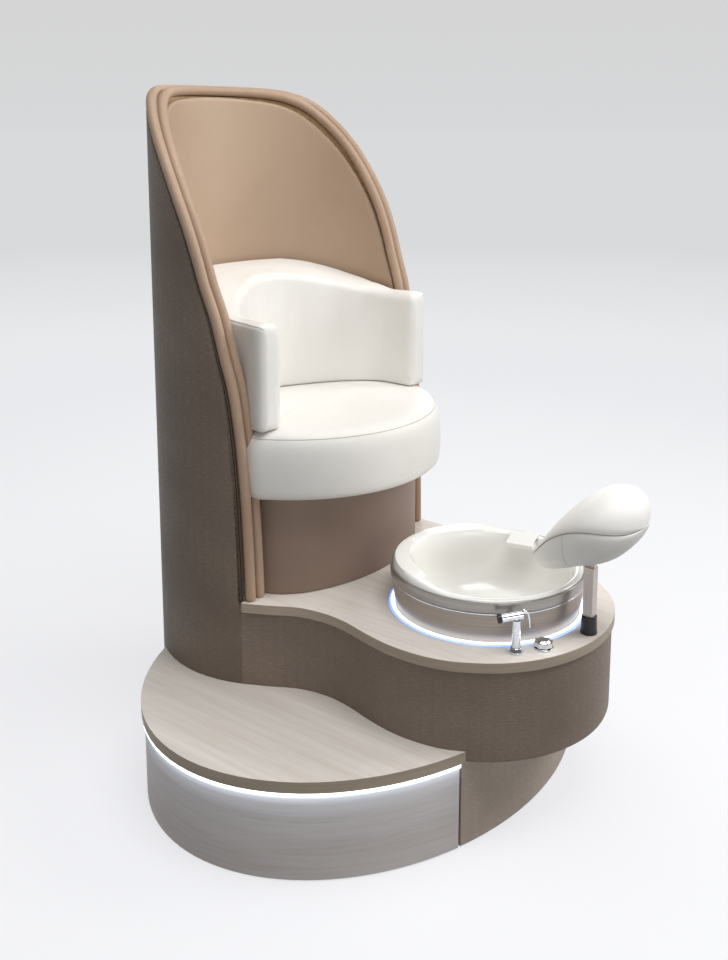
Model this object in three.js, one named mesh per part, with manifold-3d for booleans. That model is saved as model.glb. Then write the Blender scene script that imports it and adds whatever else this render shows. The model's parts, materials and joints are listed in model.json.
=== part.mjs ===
// Hooded pedicure spa chair: a tall wrap-around hood with a seat, standing on a
// platform that carries a round foot basin, a hand sprayer, a mixer knob and a
// swivelling, tilting footrest, with a side step. Millimetres, +Z up.
// The origin is on the floor under the centre of the hood's oval plan.
// The chair faces -Y. The step is on the sitter's right, at -X.
import * as THREE from 'three';
import { mergeVertices } from 'three/addons/utils/BufferGeometryUtils.js';
import { ConvexGeometry } from 'three/addons/geometries/ConvexGeometry.js';
import Module from 'manifold-3d';

const wasm = await Module();
wasm.setup();

// ---------------------------------------------------------------- dimensions
const GAP = 0.4;                 // gap between touching pieces
const HOOD_A = 407;              // hood outer half width (X)
const HOOD_B = 357;              // hood outer half depth (Y)
const HOOD_T = 54;               // hood wall thickness with both skins
const SKIN_T = 18.2;             // padded outer skin
const CORE_T = 18;               // bent plywood core
const ROLL_R = 13.2;             // radius of each leather roll
const WALL_Z0 = 4;               // shadow gap under the skirts
const FOOT_H = 12;               // levelling foot height
const BOARD_T = 18;              // base board thickness
const SHELF_Z = 217;             // underside of the platform
const DECK_Z = 460;              // top of the deck
const DECK_T = 25;               // deck thickness
const STEP_Z = 243;              // top of the step
const STEP_T = 27;               // nosing thickness
const STEP_C = [-39, -273];      // centre of the step's oval
const STEP_A = 658, STEP_B = 507;
const RISER_SET = 8;             // riser set back under the nosing
const SEAT_Z0 = 720;             // underside of the seat cushion
const SEAT_Z1 = 889;             // top of the seat cushion
const SEAT_R = 386;              // front radius of the seat cushion
const BACK_Z = 1235;             // top of the back cushion
const ARM_Z = 1154;              // top of the arms
const ARM_Y = -182;              // front face of the arms
const BASIN = [0, -610];         // basin centre
const BASIN_R = 238.6;           // rim band outer radius
const BASIN_Z = 565;             // rim top
const POST = [0, -887];          // footrest axis
const TILT_Z = 648;              // footrest tilt axis height
const SPRAY = [-188, -802];      // sprayer dock
const KNOB = [-132, -841];       // mixer knob

// front edge of the hood in side view: [Y, Z]
const EDGE = [[-160, 460], [-158, 560], [-155, 664], [-150, 770], [-140, 900], [-127, 1000],
  [-110, 1071], [-86, 1173], [-58, 1250], [-35, 1321], [-4, 1398], [47, 1492], [100, 1572],
  [165, 1650], [205, 1688], [245, 1711], [285, 1723], [345, 1729], [420, 1729]];

// platform wall, -X side from the hood to the widest point of the round end
const S_LEFT = [[-377.7, -133], [-366, -155], [-354, -180], [-341, -204], [-324, -232], [-308, -265], [-298, -305],
  [-294, -349], [-297, -392], [-304, -430], [-314, -468], [-323, -511], [-329, -548], [-331, -585]];
const ROUND = [[-329, -625], [-321, -672], [-307, -713], [-288, -747], [-266, -780], [-241, -810], [-211, -837],
  [-177, -861], [-136, -882], [-86, -899], [-30, -909]];
// +X side: nearly straight, tapering gently to the round end
const S_RIGHT = [[331, -585], [337, -520], [347, -430], [358, -340], [366, -270], [370, -220], [372, -180], [374, -155], [377.7, -133]];

// ---------------------------------------------------------------- helpers
const COL = {
  vinyl: 0x6f6356, tan: 0xbfa78b, roll: 0xc9a988, white: 0xf2f0ea, wood: 0xc6bcb0, edge: 0xa59684,
  ply: 0xc9ac80, riser: 0xaaa09a, led: 0xf4fbff, steel: 0x9a9ca0, taupe: 0x96897f, band: 0x8c847c,
  ceramic: 0xf0f0ec, chrome: 0xd9dce0, black: 0x16161a, alu: 0xc8bab3, grey: 0x4b4d50, rubber: 0x1c1c1c,
};
const MAT = {
  vinyl: [COL.vinyl, 0.75, 0], tan: [COL.tan, 0.5, 0], roll: [COL.roll, 0.5, 0], white: [COL.white, 0.5, 0],
  wood: [COL.wood, 0.55, 0], ply: [COL.ply, 0.7, 0], riser: [COL.riser, 0.6, 0], led: [COL.led, 0.3, 0],
  steel: [COL.steel, 0.4, 0.9], taupe: [COL.taupe, 0.35, 0.8], band: [COL.band, 0.3, 0.85],
  ceramic: [COL.ceramic, 0.15, 0], chrome: [COL.chrome, 0.08, 1], black: [COL.black, 0.4, 0],
  alu: [COL.alu, 0.3, 0.9], grey: [COL.grey, 0.5, 0], rubber: [COL.rubber, 0.8, 0],
};
const group = new THREE.Group();

function bare(g) {
  g = g.clone();
  for (const k of Object.keys(g.attributes)) if (k !== 'position') g.deleteAttribute(k);
  g = mergeVertices(g, 1e-3);
  const p = g.attributes.position.array, ix = Array.from(g.index.array), keep = [];
  let v = 0;
  for (let i = 0; i < ix.length; i += 3) {
    const [a, b, c] = [ix[i], ix[i + 1], ix[i + 2]];
    if (a === b || b === c || a === c) continue;
    keep.push(a, b, c);
    const A = 3 * a, B = 3 * b, C = 3 * c;
    v += p[A] * (p[B + 1] * p[C + 2] - p[B + 2] * p[C + 1]) - p[A + 1] * (p[B] * p[C + 2] - p[B + 2] * p[C])
      + p[A + 2] * (p[B] * p[C + 1] - p[B + 1] * p[C]);
  }
  if (v < 0) for (let i = 0; i < keep.length; i += 3) [keep[i + 1], keep[i + 2]] = [keep[i + 2], keep[i + 1]];
  g.setIndex(keep);
  return g;
}
function solid(g) {
  const b = bare(g);
  return new wasm.Manifold(new wasm.Mesh({ numProp: 3, vertProperties: new Float32Array(b.attributes.position.array),
    triVerts: new Uint32Array(b.index.array) }));
}
function fromSolid(m) {
  const r = m.getMesh(), g = new THREE.BufferGeometry();
  const n = r.vertProperties.length / r.numProp, pos = new Float32Array(n * 3);
  for (let i = 0; i < n; i++) for (let k = 0; k < 3; k++) pos[3 * i + k] = r.vertProperties[r.numProp * i + k];
  g.setAttribute('position', new THREE.BufferAttribute(pos, 3));
  g.setIndex(Array.from(r.triVerts));
  return g;
}
const cut = (a, ...bs) => { let m = a; for (const b of bs) m = m.subtract(b); return m; };
const join = (a, ...bs) => { let m = a; for (const b of bs) m = m.add(b); return m; };

function add(name, geo, mat, parent = group) {
  const g = geo instanceof THREE.BufferGeometry ? bare(geo) : fromSolid(geo);
  g.computeVertexNormals();
  const [color, roughness, metalness] = MAT[mat];
  const m = new THREE.Mesh(g, new THREE.MeshStandardMaterial({ color, roughness, metalness, flatShading: true }));
  m.name = name;
  parent.add(m);
  return m;
}
const path2 = (Cls, pts) => { const s = new Cls(); pts.forEach((p, i) => (i ? s.lineTo(p[0], p[1]) : s.moveTo(p[0], p[1]))); s.closePath(); return s; };
function area(pts) { let a = 0; pts.forEach((p, i) => { const q = pts[(i + 1) % pts.length]; a += p[0] * q[1] - q[0] * p[1]; }); return a / 2; }
function prism(pts, z0, z1, holes = []) {
  const s = path2(THREE.Shape, area(pts) > 0 ? pts : [...pts].reverse());
  for (const h of holes) s.holes.push(path2(THREE.Path, area(h) < 0 ? h : [...h].reverse()));
  const g = new THREE.ExtrudeGeometry(s, { depth: z1 - z0, bevelEnabled: false, steps: 1 });
  g.translate(0, 0, z0);
  return g;
}
// prism whose section is given in (Y, Z) and that runs along X
function sidePrism(pts, x0, x1) {
  const g = prism(pts, 0, x1 - x0);
  g.applyMatrix4(new THREE.Matrix4().makeBasis(new THREE.Vector3(0, 1, 0), new THREE.Vector3(0, 0, 1), new THREE.Vector3(1, 0, 0)));
  g.translate(x0, 0, 0);
  return g;
}
function lathe(profile, seg = 32, c = [0, 0]) {
  const pts = profile.map(([r, z]) => new THREE.Vector2(r, z));
  const g = new THREE.LatheGeometry(pts, seg);
  g.rotateX(Math.PI / 2);
  g.translate(c[0], c[1], 0);
  return g;
}
// ring section: closed profile
const ring = (prof, seg, c) => lathe([...prof, prof[0]], seg, c);
function box(x0, x1, y0, y1, z0, z1) {
  const g = new THREE.BoxGeometry(x1 - x0, y1 - y0, z1 - z0);
  g.translate((x0 + x1) / 2, (y0 + y1) / 2, (z0 + z1) / 2);
  return g;
}
function cyl(r, z0, z1, c = [0, 0], seg = 16, r2 = r) {
  const g = new THREE.CylinderGeometry(r2, r, z1 - z0, seg);
  g.rotateX(Math.PI / 2);
  g.translate(c[0], c[1], (z0 + z1) / 2);
  return g;
}
function rod(r, a, b, seg = 12) {
  const A = new THREE.Vector3(...a), B = new THREE.Vector3(...b), d = B.clone().sub(A);
  const g = new THREE.CylinderGeometry(r, r, d.length(), seg);
  g.applyQuaternion(new THREE.Quaternion().setFromUnitVectors(new THREE.Vector3(0, 1, 0), d.clone().normalize()));
  const m = A.add(B).multiplyScalar(0.5);
  g.translate(m.x, m.y, m.z);
  return g;
}
function tube(points, r, sides = 8, steps = 60) {
  const sec = [];
  for (let i = 0; i < sides; i++) { const t = 2 * Math.PI * i / sides; sec.push([r * Math.cos(t), r * Math.sin(t)]); }
  const path = new THREE.CatmullRomCurve3(points.map((p) => new THREE.Vector3(...p)), false, 'centripetal');
  return new THREE.ExtrudeGeometry(path2(THREE.Shape, sec), { steps, bevelEnabled: false, extrudePath: path });
}
const ell = (a, b, t, c = [0, 0]) => [c[0] + a * Math.cos(t), c[1] + b * Math.sin(t)];
function ellipse(a, b, n = 56, c = [0, 0]) { const o = []; for (let i = 0; i < n; i++) o.push(ell(a, b, 2 * Math.PI * i / n, c)); return o; }
function arc(a, b, t0, t1, n, c = [0, 0]) { const o = []; for (let i = 0; i <= n; i++) o.push(ell(a, b, t0 + (t1 - t0) * i / n, c)); return o; }
// shifts an open line sideways: positive d moves to the right of the direction of travel
function shift(pts, d) {
  return pts.map((p, i) => {
    const a = pts[Math.max(i - 1, 0)], b = pts[Math.min(i + 1, pts.length - 1)];
    const dx = b[0] - a[0], dy = b[1] - a[1], l = Math.hypot(dx, dy) || 1;
    return [p[0] + d * dy / l, p[1] - d * dx / l];
  });
}
const smooth2 = (pts, n) => new THREE.CatmullRomCurve3(pts.map((p) => new THREE.Vector3(p[0], p[1], 0)), false, 'centripetal')
  .getSpacedPoints(n).map((v) => [v.x, v.y]);
const strip = (line, t, z0, z1) => prism([...line, ...shift(line, t).reverse()], z0, z1);
const inside = (p, poly) => { let c = false; for (let i = 0, j = poly.length - 1; i < poly.length; j = i++) { const a = poly[i], b = poly[j]; if ((a[1] > p[1]) !== (b[1] > p[1]) && p[0] < (b[0] - a[0]) * (p[1] - a[1]) / (b[1] - a[1]) + a[0]) c = !c; } return c; };

// ---------------------------------------------------------------- plan outlines
// platform wall line from the hood's -X foot, round the front, to its +X foot
const WALL = smooth2([...S_LEFT, ...ROUND, [30, -909], ...ROUND.slice(0, -1).map(([x, y]) => [-x, y]).reverse(), ...S_RIGHT], 72);
const BACK_IN = arc(HOOD_A - 2 * GAP - SKIN_T - CORE_T, HOOD_B - 2 * GAP - SKIN_T - CORE_T, -0.42, Math.PI + 0.42, 30);
const WALL_CLOSED = [...WALL, [300, -125], [-300, -125]];
// travel along WALL goes -X side first, so the inside of the platform is on its left
const wallIn = (d) => shift(WALL, -d).filter((p) => p[1] < -133.6);

// ---------------------------------------------------------------- base
add('base_board', join(solid(prism(ellipse(HOOD_A - 2 * GAP - SKIN_T - CORE_T, HOOD_B - 2 * GAP - SKIN_T - CORE_T, 48), FOOT_H + GAP, FOOT_H + BOARD_T)),
  solid(box(-262, 262, -660, -60, FOOT_H + GAP, FOOT_H + BOARD_T))), 'ply');
const FEET = { center: [0, 0], rear_left: [230, 190], rear_right: [-230, 190], front_left: [215, -600], front_right: [-215, -600],
  step_front: [-420, -590], step_side: [-610, -250], step_rear: [-500, 20] };
for (const [k, c] of Object.entries(FEET)) {
  add('foot_' + k, cyl(23, 0, FOOT_H, c, 16), 'rubber');
}

// ---------------------------------------------------------------- hood
// everything in front of and above the hood's edge, moved back by d
function edgeCutter(d, x = 520) {
  const line = shift(EDGE, d).filter((p, i, a) => i === 0 || p[0] >= a[i - 1][0] - 0.01);
  const first = line[0], last = line[line.length - 1];
  return solid(sidePrism([[-900, -50], [first[0], -50], ...line, [last[0] + 80, last[1]], [last[0] + 80, 2000], [-900, 2000]], -x, x));
}
function hoodLayer(off, t, z0, d) {
  const a = HOOD_A - off, b = HOOD_B - off;
  return cut(solid(prism(ellipse(a, b, 64), z0, 1760, [ellipse(a - t, b - t, 64)])), edgeCutter(d));
}
add('hood_skin', hoodLayer(0, SKIN_T, WALL_Z0, 28), 'vinyl');
add('hood_core', hoodLayer(SKIN_T + GAP, CORE_T - GAP, WALL_Z0, 28.6), 'ply');
add('hood_liner', hoodLayer(SKIN_T + CORE_T + GAP, HOOD_T - SKIN_T - CORE_T - GAP, DECK_Z + GAP, 33), 'tan');
function rollPath(a, b) {
  const c = shift(EDGE, ROLL_R + 0.5), zOf = (y) => {
    for (let i = 1; i < c.length; i++) if (y <= c[i][0] && c[i][0] > c[i - 1][0]) { const f = (y - c[i - 1][0]) / (c[i][0] - c[i - 1][0]); return c[i - 1][1] + f * (c[i][1] - c[i - 1][1]); }
    return c[c.length - 1][1];
  };
  const side = c.filter((p) => p[0] < 0.74 * b).map(([y, z]) => [a * Math.sqrt(1 - (y / b) ** 2), y, z]);
  side[0][2] = DECK_Z + GAP;
  const t0 = Math.asin(side[side.length - 1][1] / b), back = [];
  for (let i = 1; i < 14; i++) { const t = t0 + (Math.PI - 2 * t0) * i / 14; back.push([a * Math.cos(t), b * Math.sin(t), zOf(b * Math.sin(t))]); }
  return [...side, ...back, ...side.map(([x, y, z]) => [-x, y, z]).reverse()];
}
add('hood_roll_outer', tube(rollPath(HOOD_A - 13.5, HOOD_B - 13.5), ROLL_R, 8, 68), 'roll');
add('hood_roll_inner', tube(rollPath(HOOD_A - HOOD_T + 13.5, HOOD_B - HOOD_T + 13.5), ROLL_R, 8, 68), 'roll');

// ---------------------------------------------------------------- platform
add('platform_skirt', strip(wallIn(0), -BOARD_T, SHELF_Z + GAP, DECK_Z - DECK_T - GAP), 'vinyl');
const oval = (inset, n = 96) => ellipse(STEP_A - inset, STEP_B - inset, n, STEP_C);
// plinth: follows the step's oval under the round end, then the +X wall
const P_IN = wallIn(12);
const P_POLY = [...P_IN, [290, -125], [-290, -125]];
const OV = arc(STEP_A - RISER_SET, STEP_B - RISER_SET, 246.9 * Math.PI / 180, 330 * Math.PI / 180, 60, STEP_C);
const front = OV.filter((p) => p[0] < 0 || inside(p, P_POLY));
const lastF = front[front.length - 1];
const sideP = P_IN.filter((p) => p[0] > 0 && p[1] > lastF[1] + 10 && p[0] > 200);
const PLINTH = [...front.filter((p, i) => i % 2 === 0), ...sideP.filter((p) => p[1] < -134)];
add('plinth_skirt', strip(PLINTH, -16, WALL_Z0, SHELF_Z - GAP), 'vinyl');
// shelf that closes the overhang from below
const hoodBody = (g = 0.5) => solid(prism(ellipse(HOOD_A + g, HOOD_B + g, 64), -20, 700));
const inPlinth = solid(prism([...shift(PLINTH, -22), [330, -100], [-330, -100], [-330, -640]], 0, 700));
add('overhang_shelf', cut(solid(prism([...wallIn(BOARD_T + GAP).filter((p) => p[1] < -560)], SHELF_Z + GAP, SHELF_Z + 12)), inPlinth), 'ply');
// deck: one veneered board over the platform and into the hood
const deckLine = wallIn(-6).map((p) => [...p]);
const di = arc(HOOD_A - 2 * GAP - SKIN_T - CORE_T, HOOD_B - 2 * GAP - SKIN_T - CORE_T, -0.432, Math.PI + 0.432, 30);
const circ = (c, r, n = 32) => ellipse(r, r, n, c);
const deckFront = deckLine.filter((p) => p[1] < -136);
const hx = 379, hy = -133.5;
add('deck', prism([[-hx, hy], ...deckFront, [hx, hy], ...di], DECK_Z - DECK_T, DECK_Z,
  [circ(BASIN, 216, 40), circ(SPRAY, 12.7, 16), circ(KNOB, 9, 10), circ(POST, 12, 12)]), 'wood');
// carcass boards that carry the deck
const zr0 = FOOT_H + BOARD_T + GAP, zr1 = DECK_Z - DECK_T - GAP;
add('carcass_side_left', box(246, 261, -560, 120, zr0, zr1), 'ply');
add('carcass_side_right', box(-261, -246, -560, 120, zr0, zr1), 'ply');
add('carcass_cross_front', box(-100, 100, -852, -837, SHELF_Z + 12 + GAP, zr1), 'ply');
add('carcass_cross_rear', box(-245, 245, -196, -180, zr0, zr1), 'ply');

// ---------------------------------------------------------------- step
const keepLeft = solid(box(-900, -270, -900, 400, -50, 600));
const platBody = solid(prism([...wallIn(-0.6), [330, -100], [-330, -100]], -20, 700));
add('step_tread', cut(solid(prism(oval(0), STEP_Z - STEP_T, STEP_Z)).intersect(keepLeft), platBody, hoodBody()), 'wood');
const rTop = STEP_Z - STEP_T - GAP;
const rA = 115 * Math.PI / 180, rB = 246.3 * Math.PI / 180;
const riserLine = arc(STEP_A - RISER_SET, STEP_B - RISER_SET, rA, rB, 44, STEP_C);
add('step_riser', cut(solid(strip(riserLine, -15, WALL_Z0, rTop)), hoodBody()), 'riser');
const ledLine = arc(STEP_A - 1.5, STEP_B - 1.5, rA, rB, 44, STEP_C);
add('step_led_strip', cut(solid(strip(ledLine, -6, rTop - 9, rTop)), hoodBody()), 'led');
add('step_base', cut(solid(prism(oval(RISER_SET + 15 + GAP), FOOT_H + GAP, FOOT_H + BOARD_T)).intersect(keepLeft), platBody, hoodBody()), 'ply');
add('step_rib_rear', box(-600, -425, -80, -62, zr0, rTop), 'ply');
add('step_rib_middle', box(-655, -312, -300, -282, zr0, rTop), 'ply');
add('step_rib_front', box(-575, -350, -520, -502, zr0, rTop), 'ply');

// ---------------------------------------------------------------- seat
const dr = [[-306, -138], [-286, -178], [-243, -220], [-195, -246], [-149, -263], [-80, -278], [0, -284]];
const drumLine = smooth2([...dr, ...dr.slice(0, -1).map(([x, y]) => [-x, y]).reverse()], 26);
add('seat_base_panel', strip(drumLine, -BOARD_T, DECK_Z + GAP, SEAT_Z0 - GAP), 'tan');
const legs = [[-200, -120], [200, -120], [-200, 150], [200, 150]].map(([x, y]) => solid(box(x - 15, x + 15, y - 15, y + 15, DECK_Z + GAP, 680)));
add('seat_frame', join(...legs, solid(box(-215, 215, -135, -105, 671, 701)), solid(box(-215, 215, 135, 165, 671, 701)),
  solid(box(-215, -185, -120, 150, 671, 701)), solid(box(185, 215, -120, 150, 671, 701))), 'steel');
const seatIn = (d) => ellipse(HOOD_A - HOOD_T - 3 - d, HOOD_B - HOOD_T - 3 - d, 48);
add('seat_board', prism(ellipse(330, 262, 36), 701 + GAP, SEAT_Z0 - GAP), 'ply');
function hull(rings) { const v = []; for (const [pts, z] of rings) for (const p of pts) v.push(new THREE.Vector3(p[0], p[1], z)); return new ConvexGeometry(v); }
const seatFront = (d) => { const r = SEAT_R - d, t = Math.asin(-163 / SEAT_R); return arc(r, r, Math.PI - t, 2 * Math.PI + t, 26); };
const za = SEAT_Z0 + GAP, zb = SEAT_Z1;
add('seat_cushion', join(
  solid(hull([[seatFront(8), za], [seatFront(0), za + 14], [seatFront(0), zb - 26], [seatFront(8), zb - 9], [seatFront(24), zb]])),
  solid(hull([[seatIn(4), za], [seatIn(0), za + 12], [seatIn(0), zb - 10], [seatIn(6), zb]]))), 'white');

// wrap-around back and arm cushion
const innerB = [[-272, ARM_Y], [-274, -140], [-273, -79], [-258, -40], [-229, -7], [-190, 28], [-150, 54], [-100, 82], [-52, 104], [0, 112]];
const innerLine = [...innerB, ...innerB.slice(0, -1).map(([x, y]) => [-x, y]).reverse()];
const backOuter = arc(HOOD_A - HOOD_T - 16, HOOD_B - HOOD_T - 16, -0.40, Math.PI + 0.40, 40);
const backPlan = [...innerLine, [340, ARM_Y], [340, -148], [318, -144], ...backOuter.slice(1, -1), [-318, -144], [-340, -148], [-340, ARM_Y]];
const topCut = solid(sidePrism([[-400, ARM_Z], [-92, ARM_Z + 1], [10, 1171], [82, 1189], [200, 1226], [240, BACK_Z], [400, BACK_Z], [400, 1500], [-400, 1500]], -500, 500));
const rollRoom = (() => {           // space in front of the hood edge that the arms may fill
  const line = shift(EDGE, -3);
  return solid(sidePrism([[-140, 800], ...line.filter((p) => p[1] > 760 && p[1] < 1400), [200, 1400], [200, 800]], -500, 500));
})();
const wide = solid(prism(ellipse(HOOD_A - HOOD_T - 14, HOOD_B - HOOD_T - 14, 56), 800, 1500));
const backBlock = solid(prism(backPlan, SEAT_Z1 + 1, 1300));
add('back_cushion', cut(backBlock, topCut, rollRoom.subtract(wide)), 'white');
add('back_board', cut(solid(prism(ellipse(HOOD_A - HOOD_T - 2, HOOD_B - HOOD_T - 2, 56), SEAT_Z1 + 6, 1140, [ellipse(HOOD_A - HOOD_T - 14, HOOD_B - HOOD_T - 14, 56)])),
  solid(box(-500, 500, -500, -20, 0, 2000))), 'ply');

// ---------------------------------------------------------------- basin
const B0 = BASIN;
add('basin_bowl', ring([[22, 388], [22, 397], [90, 399], [140, 408], [172, 428], [188, 460], [200, 520], [206, 555], [213, BASIN_Z + 1], [231, BASIN_Z + 1],
  [233.5, 562], [233.5, 547], [226, 547], [222, 552], [214, 548], [208, 515], [196, 455], [180, 421], [146, 399], [90, 389]], 40, B0), 'ceramic');
add('basin_rim_band', ring([[234, 538], [BASIN_R, 538], [BASIN_R, 562], [237, 564], [234, 564]], 40, B0), 'band');
add('basin_trim_ring', ring([[228, 532.6], [236.5, 532.6], [236.5, 536.5], [228, 536.5]], 40, B0), 'chrome');
add('basin_housing', ring([[219, DECK_Z + GAP], [225, DECK_Z + GAP], [231, 495], [234, 532], [228, 532], [225, 495]], 40, B0), 'taupe');
add('basin_led_ring', ring([[227, DECK_Z + GAP], [241.5, DECK_Z + GAP], [241.5, DECK_Z + 4], [228, DECK_Z + 4]], 40, B0), 'led');
// spout block: sits on the rim and reaches down into the bowl, turned 12 degrees
{
  const g = sidePrism([[-64, -19], [-66, -7], [-10, 7], [-4, 4], [-4, 0.6], [-34, 0.6], [-34, -21]], -6, 66);
  g.rotateZ(-Math.PI / 2);
  g.translate(222, 0, BASIN_Z + 1);
  g.rotateZ(12 * Math.PI / 180);
  g.translate(B0[0], B0[1], 0);
  add('spout_cover', g, 'ceramic');
}
add('drain_flange', ring([[16, 360], [21.5, 360], [21.5, 397.6], [30, 399.6], [30, 401.4], [18, 401], [16, 396]], 20, B0), 'chrome');
add('drain_tailpiece', ring([[17, 250], [21, 250], [21, 359.6], [17, 359.6]], 16, B0), 'grey');
add('drain_pump', join(solid(box(-70, 40, -670, -550, zr0, 150)), solid(cyl(45, 100, 190, [-20, -610], 20)), solid(cyl(24, 150, 249.6, B0, 16)), solid(rod(16, [30, -610, 100], [59.4, -610, 100], 12))), 'grey');
add('drain_hose', tube([[60.4, -610, 100], [72, -610, 100], [120, -600, 92], [170, -540, 70], [190, -420, 60], [190, -260, 56], [190, -212, 56]], 14, 8, 16), 'grey');
add('power_supply', box(20, 150, -330, -230, zr0, 110), 'grey');
add('led_driver', box(-200, -100, -330, -270, zr0, 70), 'grey');

// ---------------------------------------------------------------- mixer, dock
add('mixer_valve', join(solid(cyl(20, 380, DECK_Z - DECK_T - GAP, KNOB, 16)), solid(cyl(8, 400, DECK_Z + 5, KNOB, 10))), 'steel');
add('knob_escutcheon', ring([[9, DECK_Z + GAP], [24, DECK_Z + GAP], [23, DECK_Z + 4], [9, DECK_Z + 4]], 24, KNOB), 'chrome');
{
  const lobes = []; for (let i = 0; i < 32; i++) { const t = 2 * Math.PI * i / 32, r = 20.5 + 1.6 * Math.cos(8 * t); lobes.push([KNOB[0] + r * Math.cos(t), KNOB[1] + r * Math.sin(t)]); }
  add('mixer_knob', join(solid(prism(lobes, DECK_Z + 5.6, DECK_Z + 16)), solid(cyl(18, DECK_Z + 15, DECK_Z + 20, KNOB, 24, 12))), 'chrome');
}
add('sprayer_dock', ring([[8.6, DECK_Z - 40], [12, DECK_Z - 40], [12, DECK_Z + GAP], [17.5, DECK_Z + GAP], [17.5, DECK_Z + 4], [12, DECK_Z + 12], [8.6, DECK_Z + 12]], 16, SPRAY), 'chrome');

// sprayer: stem, head pointing along the basin's edge, nozzle and trigger
const sd = [-0.703, 0.711];           // plan direction of the head
const SP = (s, z, w = 0) => [SPRAY[0] + s * sd[0] - w * sd[1], SPRAY[1] + s * sd[1] + w * sd[0], z];
const sprayBody = join(
  solid(cyl(7.5, DECK_Z - 38, DECK_Z + 13, SPRAY, 14)),
  solid(cyl(10.5, DECK_Z + 12.6, DECK_Z + 76, SPRAY, 16, 9.5)),
  solid(rod(9.5, SP(-14, DECK_Z + 88), SP(34, DECK_Z + 82), 16)),
  solid(rod(6, SP(0, DECK_Z + 70), SP(0, DECK_Z + 84), 12)));
const lug = solid(rod(3.4, SP(-17, DECK_Z + 96, -8), SP(-17, DECK_Z + 96, 8), 12));
const slot = solid(rod(7.6, SP(-17, DECK_Z + 96, -5), SP(-17, DECK_Z + 96, 5), 12));
add('sprayer_body', cut(join(sprayBody), slot), 'chrome');
add('sprayer_nozzle', rod(10.5, SP(34.6, DECK_Z + 81.9), SP(43, DECK_Z + 80.8), 16), 'black');
{
  const bar = solid(sidePrism([[-3, -3], [-2, 3.5], [4, 3.5], [10, -2], [13.5, -18], [14.5, -38], [11.5, -38], [10, -18], [6.5, -5], [0, -3.4]], -4.2, 4.2));
  const g = fromSolid(bar);
  // section Y runs towards the rear of the head, Z is up
  g.rotateZ(Math.atan2(-sd[1], -sd[0]) - Math.PI / 2);
  const o = SP(-17, DECK_Z + 96);
  g.translate(o[0], o[1], o[2]);
  add('sprayer_trigger', g, 'chrome');
}

// ---------------------------------------------------------------- drain stopper
add('drain_stopper', join(solid(cyl(15, 396.5, 402, B0, 20, 17)), solid(cyl(26, 402, 405, B0, 24, 22)), solid(cyl(5, 376, 397, B0, 10))), 'chrome');

// ---------------------------------------------------------------- footrest
add('footrest_boot', ring([[13.2, DECK_Z + GAP], [20, DECK_Z + GAP], [19, DECK_Z + 10], [17.6, DECK_Z + 43.6], [13.2, DECK_Z + 43.6]], 24, POST), 'black');
const pinHole = solid(rod(5.4, [POST[0] - 60, POST[1], TILT_Z], [POST[0] + 60, POST[1], TILT_Z], 12));
const px = POST[0], py = POST[1];
add('footrest_post', cut(join(
  solid(cyl(12.6, DECK_Z + 1, DECK_Z + 45, POST, 20)),
  solid(box(px - 12, px + 12, py - 12, py + 12, DECK_Z + 44.2, 622)),
  solid(box(px - 6, px + 6, py - 11, py + 11, 620, TILT_Z + 10))), pinHole), 'alu');
add('footrest_tilt_pin', rod(5, [px - 17, py, TILT_Z], [px + 17, py, TILT_Z], 12), 'steel');
add('footrest_bracket', cut(join(
  solid(box(px - 14, px - 7, py - 13, py + 13, TILT_Z - 12, TILT_Z + 19)),
  solid(box(px + 7, px + 14, py - 13, py + 13, TILT_Z - 12, TILT_Z + 19)),
  solid(box(px - 40, px + 40, py - 40, py + 40, TILT_Z + 18, TILT_Z + 24))), pinHole), 'steel');

// leaf-shaped pad: egg outline, arched along its length, low tip over the basin,
// crowned top panel and a deep rounded underside
const PAD = { y: -874.4, l: 138, z: 708, w: 95.4, egg: 0.556, deep: 102.9, crown: 54.5, roll: 0.077 };
const padEdge = (s) => PAD.z + 62.3 * s - 54.5 * (s * s - 0.5) + 1.5 * s * s * s;
function padPoint(t, u, top) {
  const s = Math.cos(t), x = PAD.w * Math.sin(t) * (1 + PAD.egg * s) * (1 - u), k = Math.max(0, 1 - s * s);
  const z = top ? padEdge(s) + PAD.crown * k ** 0.4 * (1 + 0.9 * s) * Math.sqrt(Math.max(0, 1 - (1 - u) ** 2))
    : padEdge(s) - PAD.deep * Math.max(0, 1 - Math.abs(s) ** 2.6) ** 0.76 * (1 + 0.05 * s) * Math.sqrt(Math.max(0, 1 - (1 - u) ** 3));
  return [px + x, PAD.y - PAD.l * s, z + PAD.roll * x];
}
const padRows = [...[1, 0.75, 0.5, 0.28, 0.12, 0.03].map((u) => [u, true]), [0, true], ...[0.02, 0.08, 0.2, 0.4, 0.7, 1].map((u) => [u, false])];
const PN = 32, padPos = [], padIdx = [];
padRows.forEach(([u, top], r) => {
  for (let i = 0; i < PN; i++) padPos.push(...padPoint(2 * Math.PI * i / PN, u, top));
  if (r) for (let i = 0; i < PN; i++) {
    const a = (r - 1) * PN + i, b = (r - 1) * PN + (i + 1) % PN, c = r * PN + (i + 1) % PN, d = r * PN + i;
    padIdx.push(a, b, c, a, c, d);
  }
});
const padGeo = new THREE.BufferGeometry();
padGeo.setAttribute('position', new THREE.BufferAttribute(new Float32Array(padPos), 3));
padGeo.setIndex(padIdx);
add('footrest_pad', cut(solid(padGeo),
  solid(box(px - 41, px + 41, py - 41, py + 41, TILT_Z + 12, TILT_Z + 24.6)),
  solid(box(px - 26, px + 26, py - 36, py + 38, 500, TILT_Z + 13))), 'white');

export default group;
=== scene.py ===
import json
import math
import bpy
import bmesh
import numpy as np
from mathutils import Vector, Matrix, noise

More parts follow.
